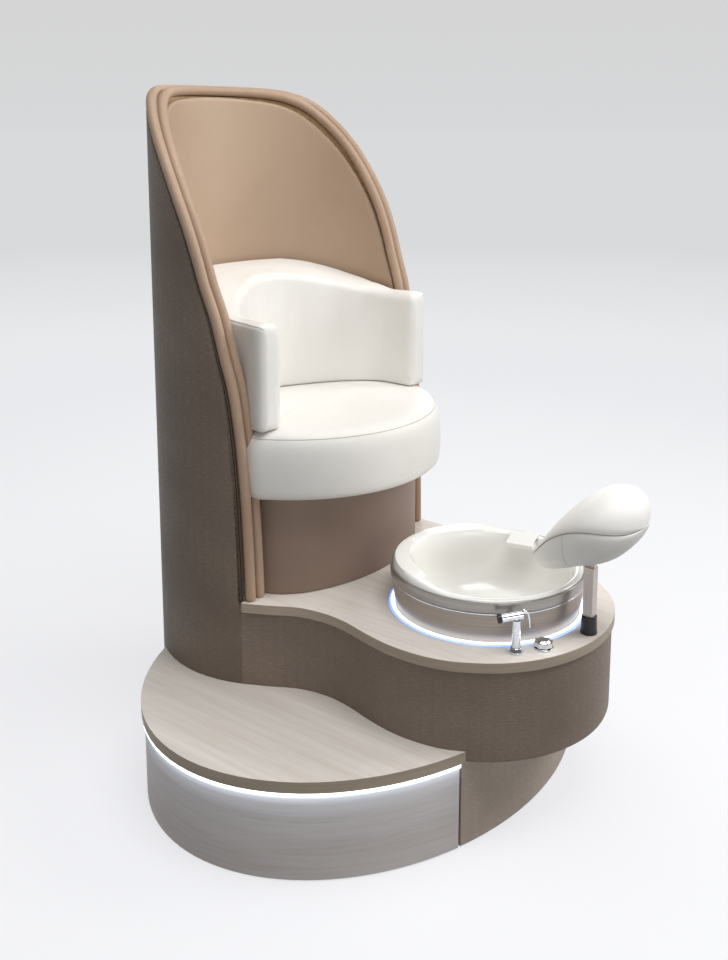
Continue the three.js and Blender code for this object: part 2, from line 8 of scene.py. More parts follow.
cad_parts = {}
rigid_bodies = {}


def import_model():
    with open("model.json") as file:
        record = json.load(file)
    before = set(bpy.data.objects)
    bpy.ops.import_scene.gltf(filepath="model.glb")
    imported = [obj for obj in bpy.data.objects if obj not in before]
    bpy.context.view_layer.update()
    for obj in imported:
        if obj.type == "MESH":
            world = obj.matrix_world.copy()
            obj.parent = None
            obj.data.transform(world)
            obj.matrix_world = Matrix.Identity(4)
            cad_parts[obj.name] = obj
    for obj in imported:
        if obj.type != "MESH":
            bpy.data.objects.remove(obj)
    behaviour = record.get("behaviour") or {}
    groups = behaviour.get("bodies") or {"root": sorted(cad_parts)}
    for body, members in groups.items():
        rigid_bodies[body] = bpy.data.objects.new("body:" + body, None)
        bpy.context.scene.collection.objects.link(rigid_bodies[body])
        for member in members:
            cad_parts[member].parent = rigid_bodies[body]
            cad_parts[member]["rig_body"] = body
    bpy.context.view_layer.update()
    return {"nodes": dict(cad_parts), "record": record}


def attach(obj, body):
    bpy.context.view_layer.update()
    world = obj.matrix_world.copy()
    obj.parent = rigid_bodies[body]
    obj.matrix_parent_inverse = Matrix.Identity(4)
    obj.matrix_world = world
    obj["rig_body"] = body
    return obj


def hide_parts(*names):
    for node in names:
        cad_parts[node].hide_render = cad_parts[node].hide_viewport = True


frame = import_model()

MM = 0.001
sc = bpy.context.scene

# ------------------------------------------------------------------ numbers
A, B, WALL = 407.0, 357.0, 54.0
EDGE = [(-160, 460), (-158, 560), (-155, 664), (-150, 770), (-140, 900), (-127, 1000), (-110, 1071), (-86, 1173),
        (-58, 1250), (-35, 1321), (-4, 1398), (47, 1492), (100, 1572), (165, 1650), (205, 1688), (245, 1711),
        (285, 1723), (345, 1729), (420, 1729)]
S_LEFT = [(-377.7, -133), (-366, -155), (-354, -180), (-341, -204), (-324, -232), (-308, -265), (-298, -305),
          (-294, -349), (-297, -392), (-304, -430), (-314, -468), (-323, -511), (-329, -548), (-331, -585)]
ROUND = [(-329, -625), (-321, -672), (-307, -713), (-288, -747), (-266, -780), (-241, -810), (-211, -837),
         (-177, -861), (-136, -882), (-86, -899), (-30, -909)]
S_RIGHT = [(331, -585), (337, -520), (347, -430), (358, -340), (366, -270), (370, -220), (372, -180), (374, -155), (377.7, -133)]
BASIN = (0.0, -610.0)
STEP_C, STEP_A, STEP_B = (-39.0, -273.0), 658.0, 507.0
DECK_Z = 460.0


# ------------------------------------------------------------------ line helpers
def catmull(pts, n, closed=False):
    """Centripetal Catmull-Rom through pts, then n+1 evenly spaced points."""
    P = np.array(pts, float)
    if closed:
        P = np.vstack([P[-1], P, P[0], P[1]])
    else:
        P = np.vstack([2 * P[0] - P[1], P, 2 * P[-1] - P[-2]])
    out = []
    for i in range(1, len(P) - 2):
        p0, p1, p2, p3 = P[i - 1], P[i], P[i + 1], P[i + 2]
        t0 = 0.0
        t1 = t0 + max(np.linalg.norm(p1 - p0), 1e-6) ** 0.5
        t2 = t1 + max(np.linalg.norm(p2 - p1), 1e-6) ** 0.5
        t3 = t2 + max(np.linalg.norm(p3 - p2), 1e-6) ** 0.5
        for k in range(24):
            t = t1 + (t2 - t1) * k / 24
            a1 = (t1 - t) / (t1 - t0) * p0 + (t - t0) / (t1 - t0) * p1
            a2 = (t2 - t) / (t2 - t1) * p1 + (t - t1) / (t2 - t1) * p2
            a3 = (t3 - t) / (t3 - t2) * p2 + (t - t2) / (t3 - t2) * p3
            b1 = (t2 - t) / (t2 - t0) * a1 + (t - t0) / (t2 - t0) * a2
            b2 = (t3 - t) / (t3 - t1) * a2 + (t - t1) / (t3 - t1) * a3
            out.append((t2 - t) / (t2 - t1) * b1 + (t - t1) / (t2 - t1) * b2)
    out.append(P[-2])
    return resample(np.array(out), n)


def resample(P, n):
    P = np.array(P, float)
    d = np.r_[0, np.cumsum(np.linalg.norm(np.diff(P, axis=0), axis=1))]
    s = np.linspace(0, d[-1], n + 1)
    return np.stack([np.interp(s, d, P[:, k]) for k in range(P.shape[1])], 1)


def shift(P, d):
    """Moves an open line sideways, to the right of its direction of travel."""
    P = np.array(P, float)
    t = np.gradient(P, axis=0)
    t /= np.maximum(np.linalg.norm(t, axis=1, keepdims=True), 1e-9)
    return P + d * np.stack([t[:, 1], -t[:, 0]], 1)


def arclen(P):
    return np.r_[0, np.cumsum(np.linalg.norm(np.diff(np.array(P, float), axis=0), axis=1))]


def ell_arc(a, b, t0, t1, n, c=(0, 0)):
    t = np.linspace(t0, t1, n + 1)
    return np.stack([c[0] + a * np.cos(t), c[1] + b * np.sin(t)], 1)


def smoothstep(x, a, b):
    t = np.clip((np.asarray(x, float) - a) / (b - a), 0, 1)
    return t * t * (3 - 2 * t)


# ------------------------------------------------------------------ node helpers
def srgb(r, g, b):
    def f(c):
        c = c / 255
        return c / 12.92 if c <= 0.04045 else ((c + 0.055) / 1.055) ** 2.4
    return (f(r), f(g), f(b), 1.0)


class Mat:
    """A small helper that wires up one Principled material."""

    def __init__(self, name, rough=0.5, metal=0.0, spec=0.5, coat=0.0, coat_rough=0.1, sheen=0.0):
        self.m = bpy.data.materials.new(name)
        self.m.use_nodes = True
        self.t = self.m.node_tree
        self.b = self.t.nodes["Principled BSDF"]
        self.b.inputs["Roughness"].default_value = rough
        self.b.inputs["Metallic"].default_value = metal
        self.b.inputs["Specular IOR Level"].default_value = spec
        self.b.inputs["Coat Weight"].default_value = coat
        self.b.inputs["Coat Roughness"].default_value = coat_rough
        self.b.inputs["Sheen Weight"].default_value = sheen
        self._obj = self._uv = None

    def n(self, kind, **kw):
        nd = self.t.nodes.new(kind)
        for k, v in kw.items():
            setattr(nd, k, v)
        return nd

    def link(self, a, b):
        self.t.links.new(a, b)

    def coords(self, uv=False, scale=(1, 1, 1), rot=(0, 0, 0)):
        tc = self.n("ShaderNodeTexCoord")
        mp = self.n("ShaderNodeMapping")
        mp.inputs["Scale"].default_value = scale
        mp.inputs["Rotation"].default_value = rot
        self.link(tc.outputs["UV" if uv else "Object"], mp.inputs["Vector"])
        return mp.outputs["Vector"]

    def noise(self, vec, scale=1.0, detail=3.0, rough=0.5, dist=0.0):
        nd = self.n("ShaderNodeTexNoise")
        nd.inputs["Scale"].default_value = scale
        nd.inputs["Detail"].default_value = detail
        nd.inputs["Roughness"].default_value = rough
        nd.inputs["Distortion"].default_value = dist
        self.link(vec, nd.inputs["Vector"])
        return nd.outputs["Fac"]

    def voronoi(self, vec, scale=1.0, feature="F1"):
        nd = self.n("ShaderNodeTexVoronoi", feature=feature)
        nd.inputs["Scale"].default_value = scale
        self.link(vec, nd.inputs["Vector"])
        return nd.outputs["Distance"]

    def ramp(self, fac, stops, interp="LINEAR"):
        nd = self.n("ShaderNodeValToRGB")
        nd.color_ramp.interpolation = interp
        e = nd.color_ramp.elements
        while len(e) < len(stops):
            e.new(0.5)
        for el, (p, c) in zip(e, stops):
            el.position = p
            el.color = c if len(c) == 4 else (*c, 1)
        self.link(fac, nd.inputs["Fac"])
        return nd.outputs["Color"]

    def math(self, op, a, b=None, clamp=False):
        nd = self.n("ShaderNodeMath", operation=op, use_clamp=clamp)
        for i, v in enumerate((a, b)):
            if v is None:
                continue
            if isinstance(v, (int, float)):
                nd.inputs[i].default_value = v
            else:
                self.link(v, nd.inputs[i])
        return nd.outputs[0]

    def mix(self, fac, a, b, blend="MIX"):
        nd = self.n("ShaderNodeMix", data_type="RGBA", blend_type=blend)
        for key, v in (("Factor", fac), ("A", a), ("B", b)):
            s = [i for i in nd.inputs if i.name == key and i.type == ("VALUE" if key == "Factor" else "RGBA")][0]
            if isinstance(v, (int, float)):
                s.default_value = v
            elif isinstance(v, tuple):
                s.default_value = v
            else:
                self.link(v, s)
        return [o for o in nd.outputs if o.type == "RGBA"][0]

    def map(self, fac, lo, hi):
        nd = self.n("ShaderNodeMapRange")
        self.link(fac, nd.inputs["Value"])
        nd.inputs["To Min"].default_value = lo
        nd.inputs["To Max"].default_value = hi
        return nd.outputs["Result"]

    def bump(self, height, dist, strength=1.0, under=None):
        nd = self.n("ShaderNodeBump")
        nd.inputs["Distance"].default_value = dist
        nd.inputs["Strength"].default_value = strength
        self.link(height, nd.inputs["Height"])
        if under is not None:
            self.link(under, nd.inputs["Normal"])
        return nd.outputs["Normal"]

    def set(self, color=None, rough=None, normal=None):
        if color is not None:
            if isinstance(color, tuple):
                self.b.inputs["Base Color"].default_value = color
            else:
                self.link(color, self.b.inputs["Base Color"])
        if rough is not None:
            self.link(rough, self.b.inputs["Roughness"])
        if normal is not None:
            self.link(normal, self.b.inputs["Normal"])
        return self.m


def vinyl(name, c_dark, c_mid, c_light):
    """Embossed linen-look vinyl: fine rows of short level dashes in faint upright columns. UV is metres."""
    m = Mat(name, rough=0.58, spec=0.38, sheen=0.03)
    uv = m.coords(uv=True)
    dash = m.noise(m.coords(uv=True, scale=(62, 430, 1)), 1.0, 1.5, 0.5)
    fine = m.noise(m.coords(uv=True, scale=(160, 1300, 1)), 1.0, 1.0, 0.5)
    patch = m.noise(m.coords(uv=True, scale=(3.2, 5, 1)), 1.0, 3.0, 0.5)
    sep = m.n("ShaderNodeSeparateXYZ")
    m.link(uv, sep.inputs[0])
    col = m.math("PINGPONG", sep.outputs["X"], 0.014)
    col = m.ramp(m.math("MULTIPLY", col, 71.4), [(0.0, (0.45, 0.45, 0.45)), (0.16, (0.6, 0.6, 0.6)), (0.34, (1, 1, 1)), (1, (1, 1, 1))])
    dashes = m.ramp(dash, [(0.44, (0, 0, 0)), (0.60, (1, 1, 1))])
    d2 = m.math("MULTIPLY", dashes, col)
    area_mask = m.ramp(patch, [(0.34, (0.25, 0.25, 0.25)), (0.62, (1, 1, 1))])
    d3 = m.math("MULTIPLY", d2, area_mask)
    sparse = m.ramp(m.noise(m.coords(uv=True, scale=(64, 330, 1)), 1.0, 0.0, 0.5), [(0.72, (0, 0, 0)), (0.78, (1, 1, 1))])
    base = m.ramp(patch, [(0.2, c_dark), (0.5, c_mid), (0.8, c_light)])
    c = m.mix(m.math("MULTIPLY", d3, 0.34), base, tuple(min(1, x * 1.42) for x in c_light[:3]) + (1,))
    c = m.mix(m.math("MULTIPLY", fine, 0.16), c, tuple(x * 0.8 for x in c_dark[:3]) + (1,))
    c = m.mix(m.math("MULTIPLY", sparse, 0.42), c, tuple(min(1, x * 1.5) for x in c_light[:3]) + (1,))
    h = m.math("ADD", m.math("MULTIPLY", d3, 0.8), m.math("MULTIPLY", fine, 0.2))
    r = m.map(d3, 0.62, 0.46)
    return m.set(c, r, m.bump(h, 0.0006, 0.6))


def leather(name, c_lo, c_hi, grain=900.0, rough=(0.42, 0.56), bump=0.00016, streak=0.0, coat=0.0, cloud=3.0):
    """Smooth upholstery leather: pebble grain, soft colour clouds and faint wear."""
    m = Mat(name, rough=0.5, spec=0.42, coat=coat, coat_rough=0.35)
    o = m.coords()
    pebble = m.voronoi(o, grain, "DISTANCE_TO_EDGE")
    pebble = m.ramp(pebble, [(0.0, (0, 0, 0)), (0.22, (1, 1, 1))])
    pores = m.noise(o, grain * 2.2, 2.0, 0.6)
    clouds = m.noise(o, cloud, 4.0, 0.55, 0.4)
    base = m.ramp(clouds, [(0.28, c_lo), (0.72, c_hi)])
    c = m.mix(m.map(pebble, 0.10, 0.0), base, tuple(x * 0.62 for x in c_lo[:3]) + (1,))
    if streak:
        s = m.noise(m.coords(scale=(220, 220, 7)), 1.0, 2.0, 0.6)
        c = m.mix(m.math("MULTIPLY", m.ramp(s, [(0.45, (0, 0, 0)), (0.75, (1, 1, 1))]), streak), c, tuple(x * 0.75 for x in c_lo[:3]) + (1,))
    h = m.math("ADD", m.math("MULTIPLY", pebble, 0.7), m.math("MULTIPLY", pores, 0.3))
    crease = m.noise(m.coords(scale=(1, 1, 0.35)), 26.0, 4.0, 0.62, 0.8)
    n1 = m.bump(crease, 0.0009, 0.22)
    return m.set(c, m.map(m.noise(o, 9.0, 3.0), rough[0], rough[1]), m.bump(h, bump, 0.6, n1))


def wood(name, lo, mid, hi, axis=(70, 2.6, 70), rough=(0.42, 0.6), strength=1.0):
    """Washed oak-look veneer; axis holds the noise scale along X, Y, Z, lowest along the grain."""
    m = Mat(name, rough=0.5, spec=0.4, coat=0.08, coat_rough=0.3)
    v = m.coords(scale=axis)
    g1 = m.noise(v, 1.0, 6.0, 0.62, 0.35)
    g2 = m.noise(m.coords(scale=tuple(a * 7 for a in axis)), 1.0, 3.0, 0.6)
    wide = m.noise(m.coords(scale=tuple(a * 0.12 for a in axis)), 1.0, 3.0, 0.5, 0.6)
    base = m.ramp(g1, [(0.28, lo), (0.5, mid), (0.74, hi)])
    tint = m.ramp(wide, [(0.3, tuple(x * 0.86 for x in mid[:3])), (0.7, tuple(min(1, x * 1.05) for x in hi[:3]))])
    c = m.mix(0.42, base, tint)
    pore = m.ramp(g2, [(0.30, (1, 1, 1)), (0.40, (0, 0, 0))])
    c = m.mix(m.math("MULTIPLY", pore, 0.22 * strength), c, tuple(x * 0.55 for x in lo[:3]) + (1,))
    spots = m.ramp(m.noise(m.coords(scale=(9, 6, 9)), 1.0, 1.0), [(0.76, (0, 0, 0)), (0.86, (1, 1, 1))])
    c = m.mix(m.math("MULTIPLY", spots, 0.18), c, tuple(x * 0.6 for x in lo[:3]) + (1,))
    h = m.math("SUBTRACT", m.math("MULTIPLY", g1, 0.6), m.math("MULTIPLY", pore, 0.4))
    return m.set(c, m.map(g1, rough[0], rough[1]), m.bump(h, 0.0003, 0.35 * strength))


def metal(name, c_lo, c_hi, rough=(0.22, 0.34), brush=(4, 4, 900), bump=0.00005, met=1.0, smudge=30.0):
    m = Mat(name, rough=0.3, metal=met, spec=0.5)
    br = m.noise(m.coords(scale=brush), 1.0, 2.0, 0.6)
    sm = m.noise(m.coords(), smudge, 3.0, 0.6)
    c = m.ramp(br, [(0.3, c_lo), (0.7, c_hi)])
    r = m.map(m.math("MULTIPLY", m.math("ADD", br, sm), 0.5), rough[0], rough[1])
    return m.set(c, r, m.bump(br, bump, 0.4))


def plastic(name, c, rough=(0.35, 0.5), grain=1400.0, bump=0.00008, spec=0.5, vary=0.12, coat=0.0):
    m = Mat(name, spec=spec, coat=coat)
    o = m.coords()
    g = m.noise(o, grain, 2.0, 0.5)
    w = m.noise(o, 14.0, 4.0, 0.6)
    col = m.ramp(w, [(0.3, tuple(x * (1 - vary) for x in c[:3])), (0.7, tuple(min(1, x * (1 + vary)) for x in c[:3]))])
    return m.set(col, m.map(w, rough[0], rough[1]), m.bump(g, bump, 0.5))


def plywood(name):
    m = Mat(name, rough=0.65, spec=0.3)
    ply = m.noise(m.coords(scale=(0.4, 0.4, 420)), 1.0, 0.0)
    grain = m.noise(m.coords(scale=(90, 5, 60)), 1.0, 5.0, 0.6, 0.4)
    c = m.ramp(grain, [(0.3, srgb(176, 140, 96)), (0.7, srgb(214, 184, 142))])
    c = m.mix(m.map(ply, 0.0, 0.5), c, srgb(142, 108, 72))
    return m.set(c, m.map(grain, 0.55, 0.75), m.bump(grain, 0.0003, 0.4))


def glow(name, core, edge, strength, zmid=None, half=None):
    """Diffuser of an LED strip: a bright core colour mottled with a coloured edge colour by fine noise."""
    m = Mat(name, rough=0.3)
    n = m.noise(m.coords(), 60.0, 2.0)
    c = m.ramp(n, [(0.2, edge), (0.45, core)])
    m.b.inputs["Base Color"].default_value = (0.8, 0.85, 0.9, 1)
    m.link(c, m.b.inputs["Emission Color"])
    m.b.inputs["Emission Strength"].default_value = strength
    return m.m


# Painted light and shade: the hood, platform and plinth are one vinyl in three tones, darkest on the hood and lightest
# on the plinth, for the shade and light that fall on each.
VINYL_HOOD_PAINTED_SHADE = vinyl("hood_vinyl", srgb(102, 89, 78), srgb(111, 98, 86), srgb(120, 106, 94))
VINYL_PLATFORM_PAINTED_LIGHTER = vinyl("platform_vinyl", srgb(110, 97, 85), srgb(120, 106, 94), srgb(129, 115, 103))
VINYL_PLINTH_PAINTED_LIT = vinyl("plinth_vinyl", srgb(160, 146, 133), srgb(170, 156, 143), srgb(179, 166, 154))
TAN = leather("tan_liner_leather", srgb(173, 148, 125), srgb(183, 159, 136), grain=700, bump=0.00010, cloud=2.2)
# Painted shade: a darker copy of the tan liner leather for the drum, standing in for the shade under the seat's
# overhang.
DRUM_PAINTED_SHADE = leather("drum_leather", srgb(131, 110, 96), srgb(141, 120, 106), grain=700, bump=0.00010, cloud=2.5)
ROLL = leather("roll_leather", srgb(164, 136, 113), srgb(182, 156, 133), grain=800, bump=0.00014, streak=0.30)
WHITE = leather("white_leather", srgb(225, 222, 216), srgb(236, 234, 230), grain=850, rough=(0.40, 0.54), bump=0.00012)
# Painted light: a lighter copy of the white leather for the footrest pad, standing in for the light the pad catches.
WHITE_P_PAINTED_LIGHTER = leather("pad_white_leather_painted_lighter", srgb(241, 239, 234), srgb(249, 248, 245), grain=850, rough=(0.40, 0.54), bump=0.00012)
WOOD = wood("washed_veneer", srgb(206, 196, 185), srgb(222, 214, 205), srgb(232, 226, 219))
# Painted shade: the edge band is a darker copy of the veneer, the shade on the upright edges of deck and tread painted
# in.
WOOD_EDGE_PAINTED_SHADE = wood("veneer_edge_band", srgb(150, 135, 117), srgb(163, 149, 131), srgb(174, 161, 144), axis=(8, 8, 260), strength=0.6)
PLY = plywood("birch_plywood")
STEEL = metal("zinc_steel", srgb(150, 152, 156), srgb(186, 188, 192), rough=(0.28, 0.45), brush=(300, 300, 300), met=0.9)
HOUSING = metal("housing_satin", srgb(158, 148, 139), srgb(176, 166, 157), rough=(0.34, 0.46), brush=(3, 3, 700), met=0.55)
BAND = metal("band_satin", srgb(150, 145, 140), srgb(176, 171, 166), rough=(0.24, 0.36), brush=(3, 3, 900), met=0.75)
CHROME = metal("chrome", srgb(214, 217, 222), srgb(232, 234, 238), rough=(0.035, 0.11), brush=(60, 60, 60), bump=0.00001)
ALU = metal("anodised_post", srgb(196, 184, 177), srgb(212, 201, 194), rough=(0.30, 0.42), brush=(600, 600, 6), met=0.45)
CERAMIC = plastic("gloss_white_bowl", srgb(238, 237, 232), rough=(0.12, 0.22), grain=40, bump=0.00012, vary=0.012, coat=0.35)
BLACK = plastic("black_plastic", srgb(22, 22, 24), rough=(0.32, 0.5), bump=0.0001)
GREY = plastic("grey_moulding", srgb(78, 80, 84), rough=(0.42, 0.6), grain=1100, bump=0.00015)
RUBBER = plastic("foot_rubber", srgb(30, 30, 31), rough=(0.7, 0.88), grain=500, bump=0.0003)
SEAM = plastic("seam_thread", srgb(196, 190, 180), rough=(0.6, 0.75), grain=2400, bump=0.0002)
# Painted shade: a dark colour laid in the groove between the hood's rolls and along the footrest pad's seam.
SEAM_D_PAINTED_SHADE = plastic("seam_shadow", srgb(128, 116, 103), rough=(0.6, 0.75), grain=2400, bump=0.0002)
LED_STEP = glow("step_led_light", (0.86, 0.93, 1.0), (0.62, 0.78, 1.0), 2.6)
LED_CORE = glow("basin_led_light", (0.88, 0.95, 1.0), (0.60, 0.82, 1.0), 1.7)
LED_BLUE = glow("basin_led_edge", (0.05, 0.22, 0.95), (0.03, 0.14, 0.75), 1.1)


def riser_mat_painted_glow():
    """Washed laminate with a level grain. The light that the strip above it spills down its face is painted in as an
    emission glow that fades downwards.
    """
    m = Mat("riser_laminate", rough=0.5, spec=0.35)
    v = m.coords(scale=(5, 5, 130))
    g = m.noise(v, 1.0, 6.0, 0.62, 0.3)
    fine = m.noise(m.coords(scale=(30, 30, 900)), 1.0, 3.0, 0.6)
    wide = m.noise(m.coords(scale=(1.5, 1.5, 16)), 1.0, 3.0, 0.5, 0.5)
    c = m.ramp(g, [(0.28, srgb(194, 186, 183)), (0.5, srgb(211, 205, 202)), (0.74, srgb(222, 217, 215))])
    c = m.mix(0.35, c, m.ramp(wide, [(0.3, srgb(188, 180, 177)), (0.7, srgb(216, 210, 208))]))
    c = m.mix(m.map(fine, 0.0, 0.22), c, srgb(172, 163, 159))
    sep = m.n("ShaderNodeSeparateXYZ")
    m.link(m.coords(), sep.inputs[0])
    # painted light: bluish emission glow on the riser face, strongest just below the strip and fading downwards
    d = m.math("MULTIPLY", m.math("SUBTRACT", 0.2066, sep.outputs["Z"]), 1 / 0.20)
    e = m.ramp(d, [(0.0, (1, 1, 1)), (0.05, (0.42, 0.42, 0.42)), (0.13, (0.16, 0.16, 0.16)), (0.30, (0.045, 0.045, 0.045)), (0.7, (0, 0, 0))], "EASE")
    e = m.mix(1.0, e, (0.72, 0.83, 1.0, 1.0), "MULTIPLY")
    m.link(e, m.b.inputs["Emission Color"])
    m.b.inputs["Emission Strength"].default_value = 0.85
    return m.set(c, m.map(g, 0.42, 0.6), m.bump(g, 0.0003, 0.3))


RISER_PAINTED_GLOW = riser_mat_painted_glow()


# ------------------------------------------------------------------ mesh helpers
def make(name, V, F, mats, body="root", replaces=(), slot=None, smooth=True, uv=None, fmat=None, sharp=None):
    """A new piece from millimetre vertices. uv: per-vertex (metres); fmat: material index per face."""
    me = bpy.data.meshes.new(name)
    me.from_pydata([tuple(float(x) * MM for x in v) for v in V], [], [tuple(int(i) for i in f) for f in F])
    for m in (mats if isinstance(mats, (list, tuple)) else [mats]):
        me.materials.append(m)
    if fmat is not None:
        me.polygons.foreach_set("material_index", np.array(fmat, np.int32))
    if uv is not None:
        layer = me.uv_layers.new(name="UVMap")
        idx = np.zeros(len(me.loops), np.int32)
        me.loops.foreach_get("vertex_index", idx)
        layer.data.foreach_set("uv", np.array(uv, np.float32)[idx].ravel())
    me.polygons.foreach_set("use_smooth", np.full(len(me.polygons), smooth))
    me.validate()
    ob = bpy.data.objects.new(name, me)
    sc.collection.objects.link(ob)
    bm = bmesh.new()
    bm.from_mesh(me)
    bmesh.ops.recalc_face_normals(bm, faces=bm.faces)
    if bm.calc_volume(signed=True) < 0:
        bmesh.ops.reverse_faces(bm, faces=bm.faces)
    if sharp is not None:
        for e in bm.edges:
            if len(e.link_faces) == 2 and e.calc_face_angle(0) > math.radians(sharp):
                e.smooth = False
    bm.to_mesh(me)
    bm.free()
    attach(ob, body)
    if replaces:
        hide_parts(*([replaces] if isinstance(replaces, str) else replaces))
    return ob


def grid_faces(rows, cols, wrap_r=False, wrap_c=False, off=0):
    F = []
    for i in range(rows if wrap_r else rows - 1):
        for j in range(cols if wrap_c else cols - 1):
            a = i * cols + j
            b = i * cols + (j + 1) % cols
            c = ((i + 1) % rows) * cols + (j + 1) % cols
            d = ((i + 1) % rows) * cols + j
            F.append((off + a, off + b, off + c, off + d))
    return F


def shell(outer, inner):
    """Closed wall from two matching grids (rows x cols x 3): outer face, inner face and the rims between them."""
    R, C = outer.shape[:2]
    V = np.vstack([outer.reshape(-1, 3), inner.reshape(-1, 3)])
    o = R * C
    F = grid_faces(R, C) + [tuple(reversed(f)) for f in grid_faces(R, C, off=o)]
    for j in range(C - 1):
        F.append((j + 1, j, o + j, o + j + 1))
        a = (R - 1) * C + j
        F.append((a, a + 1, o + a + 1, o + a))
    for i in range(R - 1):
        a, b = i * C, (i + 1) * C
        F.append((a, b, o + b, o + a))
        a, b = i * C + C - 1, (i + 1) * C + C - 1
        F.append((b, a, o + a, o + b))
    return V, F


def tube(name, path, rad, mats, sides=28, caps=True, **kw):
    """Round tube along a fine path; rad is a number or one radius per point."""
    P = np.array(path, float)
    n = len(P)
    rad = np.full(n, rad, float) if np.isscalar(rad) else np.array(rad, float)
    T = np.gradient(P, axis=0)
    T /= np.linalg.norm(T, axis=1, keepdims=True)
    up = np.array([0, 0, 1.0]) if abs(T[0][2]) < 0.9 else np.array([0, 1.0, 0])
    N = np.cross(T[0], up)
    N /= np.linalg.norm(N)
    V, UV = [], []
    s = arclen(P)
    for i in range(n):
        N = N - T[i] * N.dot(T[i])
        N /= np.linalg.norm(N)
        Bn = np.cross(T[i], N)
        for k in range(sides):
            a = 2 * math.pi * k / sides
            V.append(P[i] + rad[i] * (math.cos(a) * N + math.sin(a) * Bn))
            UV.append((s[i] * MM, k / sides * 2 * math.pi * float(rad.max()) * MM))
    F = grid_faces(n, sides, wrap_c=True)
    if caps:
        V += [P[0], P[-1]]
        UV += [(0, 0), (s[-1] * MM, 0)]
        c0, c1 = len(V) - 2, len(V) - 1
        for k in range(sides):
            F.append((c0, (k + 1) % sides, k))
            F.append((c1, (n - 1) * sides + k, (n - 1) * sides + (k + 1) % sides))
    return make(name, V, F, mats, uv=UV, **kw)


def lathe(name, prof, mats, seg=128, c=BASIN, closed=True, fm=None, warp=None, **kw):
    """Turned piece: closed profile of (radius, height). fm gives a material per profile edge."""
    P = np.array(prof, float)
    n = len(P)
    V = []
    for k in range(seg):
        a = 2 * math.pi * k / seg
        for r, z in P:
            v = np.array([c[0] + r * math.cos(a), c[1] + r * math.sin(a), z])
            V.append(warp(v, r, a, z) if warp else v)
    F, M = [], []
    for k in range(seg):
        for j in range(n):
            j2 = (j + 1) % n
            a, b = k * n + j, k * n + j2
            d, e = ((k + 1) % seg) * n + j, ((k + 1) % seg) * n + j2
            F.append((a, d, e, b))
            M.append(fm[j] if fm else 0)
    return make(name, V, F, mats, fmat=M, **kw)


def round_prof(P, r=1.0, n=3, closed=True):
    """Rounds the corners of a closed profile."""
    P = [np.array(p, float) for p in P]
    out = []
    for i in range(len(P)):
        a, b, c = P[i - 1], P[i], P[(i + 1) % len(P)]
        u, v = a - b, c - b
        lu, lv = np.linalg.norm(u), np.linalg.norm(v)
        k = min(r, 0.45 * lu, 0.45 * lv)
        p, q = b + u / lu * k, b + v / lv * k
        for t in np.linspace(0, 1, n + 1):
            out.append((1 - t) ** 2 * p + 2 * t * (1 - t) * b + t * t * q)
    return [tuple(p) for p in out]


def refine(node, mats, bevel=0.8, segs=2, body=None, name=None, angle=32, pick=None, tidy=True):
    """The CAD piece with welded faces, softened edges and smooth shading; pick(face) gives the material index."""
    src = frame["nodes"][node]
    bm = bmesh.new()
    bm.from_mesh(src.data)
    bmesh.ops.remove_doubles(bm, verts=bm.verts, dist=1e-5)
    if tidy:
        bmesh.ops.dissolve_limit(bm, angle_limit=math.radians(0.6), verts=bm.verts, edges=bm.edges)
    if bevel:
        E = [e for e in bm.edges if len(e.link_faces) == 2 and e.calc_face_angle(0) > math.radians(angle)]
        bmesh.ops.bevel(bm, geom=E, offset=bevel * MM, segments=segs, profile=0.6, affect="EDGES", clamp_overlap=True)
    bm.normal_update()
    for f in bm.faces:
        f.smooth = True
        if pick:
            f.material_index = pick(f)
    for e in bm.edges:
        if len(e.link_faces) == 2 and e.calc_face_angle(0) > math.radians(38):
            e.smooth = False
    me = bpy.data.meshes.new(name or node + "_fine")
    bm.to_mesh(me)
    bm.free()
    for m in (mats if isinstance(mats, (list, tuple)) else [mats]):
        me.materials.append(m)
    ob = bpy.data.objects.new(name or node + "_fine", me)
    sc.collection.objects.link(ob)
    w = ob.modifiers.new("flat_faces", "WEIGHTED_NORMAL")
    w.keep_sharp = True
    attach(ob, body or src["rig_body"])
    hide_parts(node)
    return ob


# ------------------------------------------------------------------ hood
EDGE_F = catmull(EDGE[:-1] + [(380, 1729)], 260)


def edge_line(d):
    """Fine front edge of the hood wall in side view, moved back by d, ends at the back of the hood."""
    L = shift(EDGE_F, d)
    keep = [L[0]]
    for p in L[1:]:
        if p[0] >= keep[-1][0] - 0.01:
            keep.append(p)
    return np.array(keep)


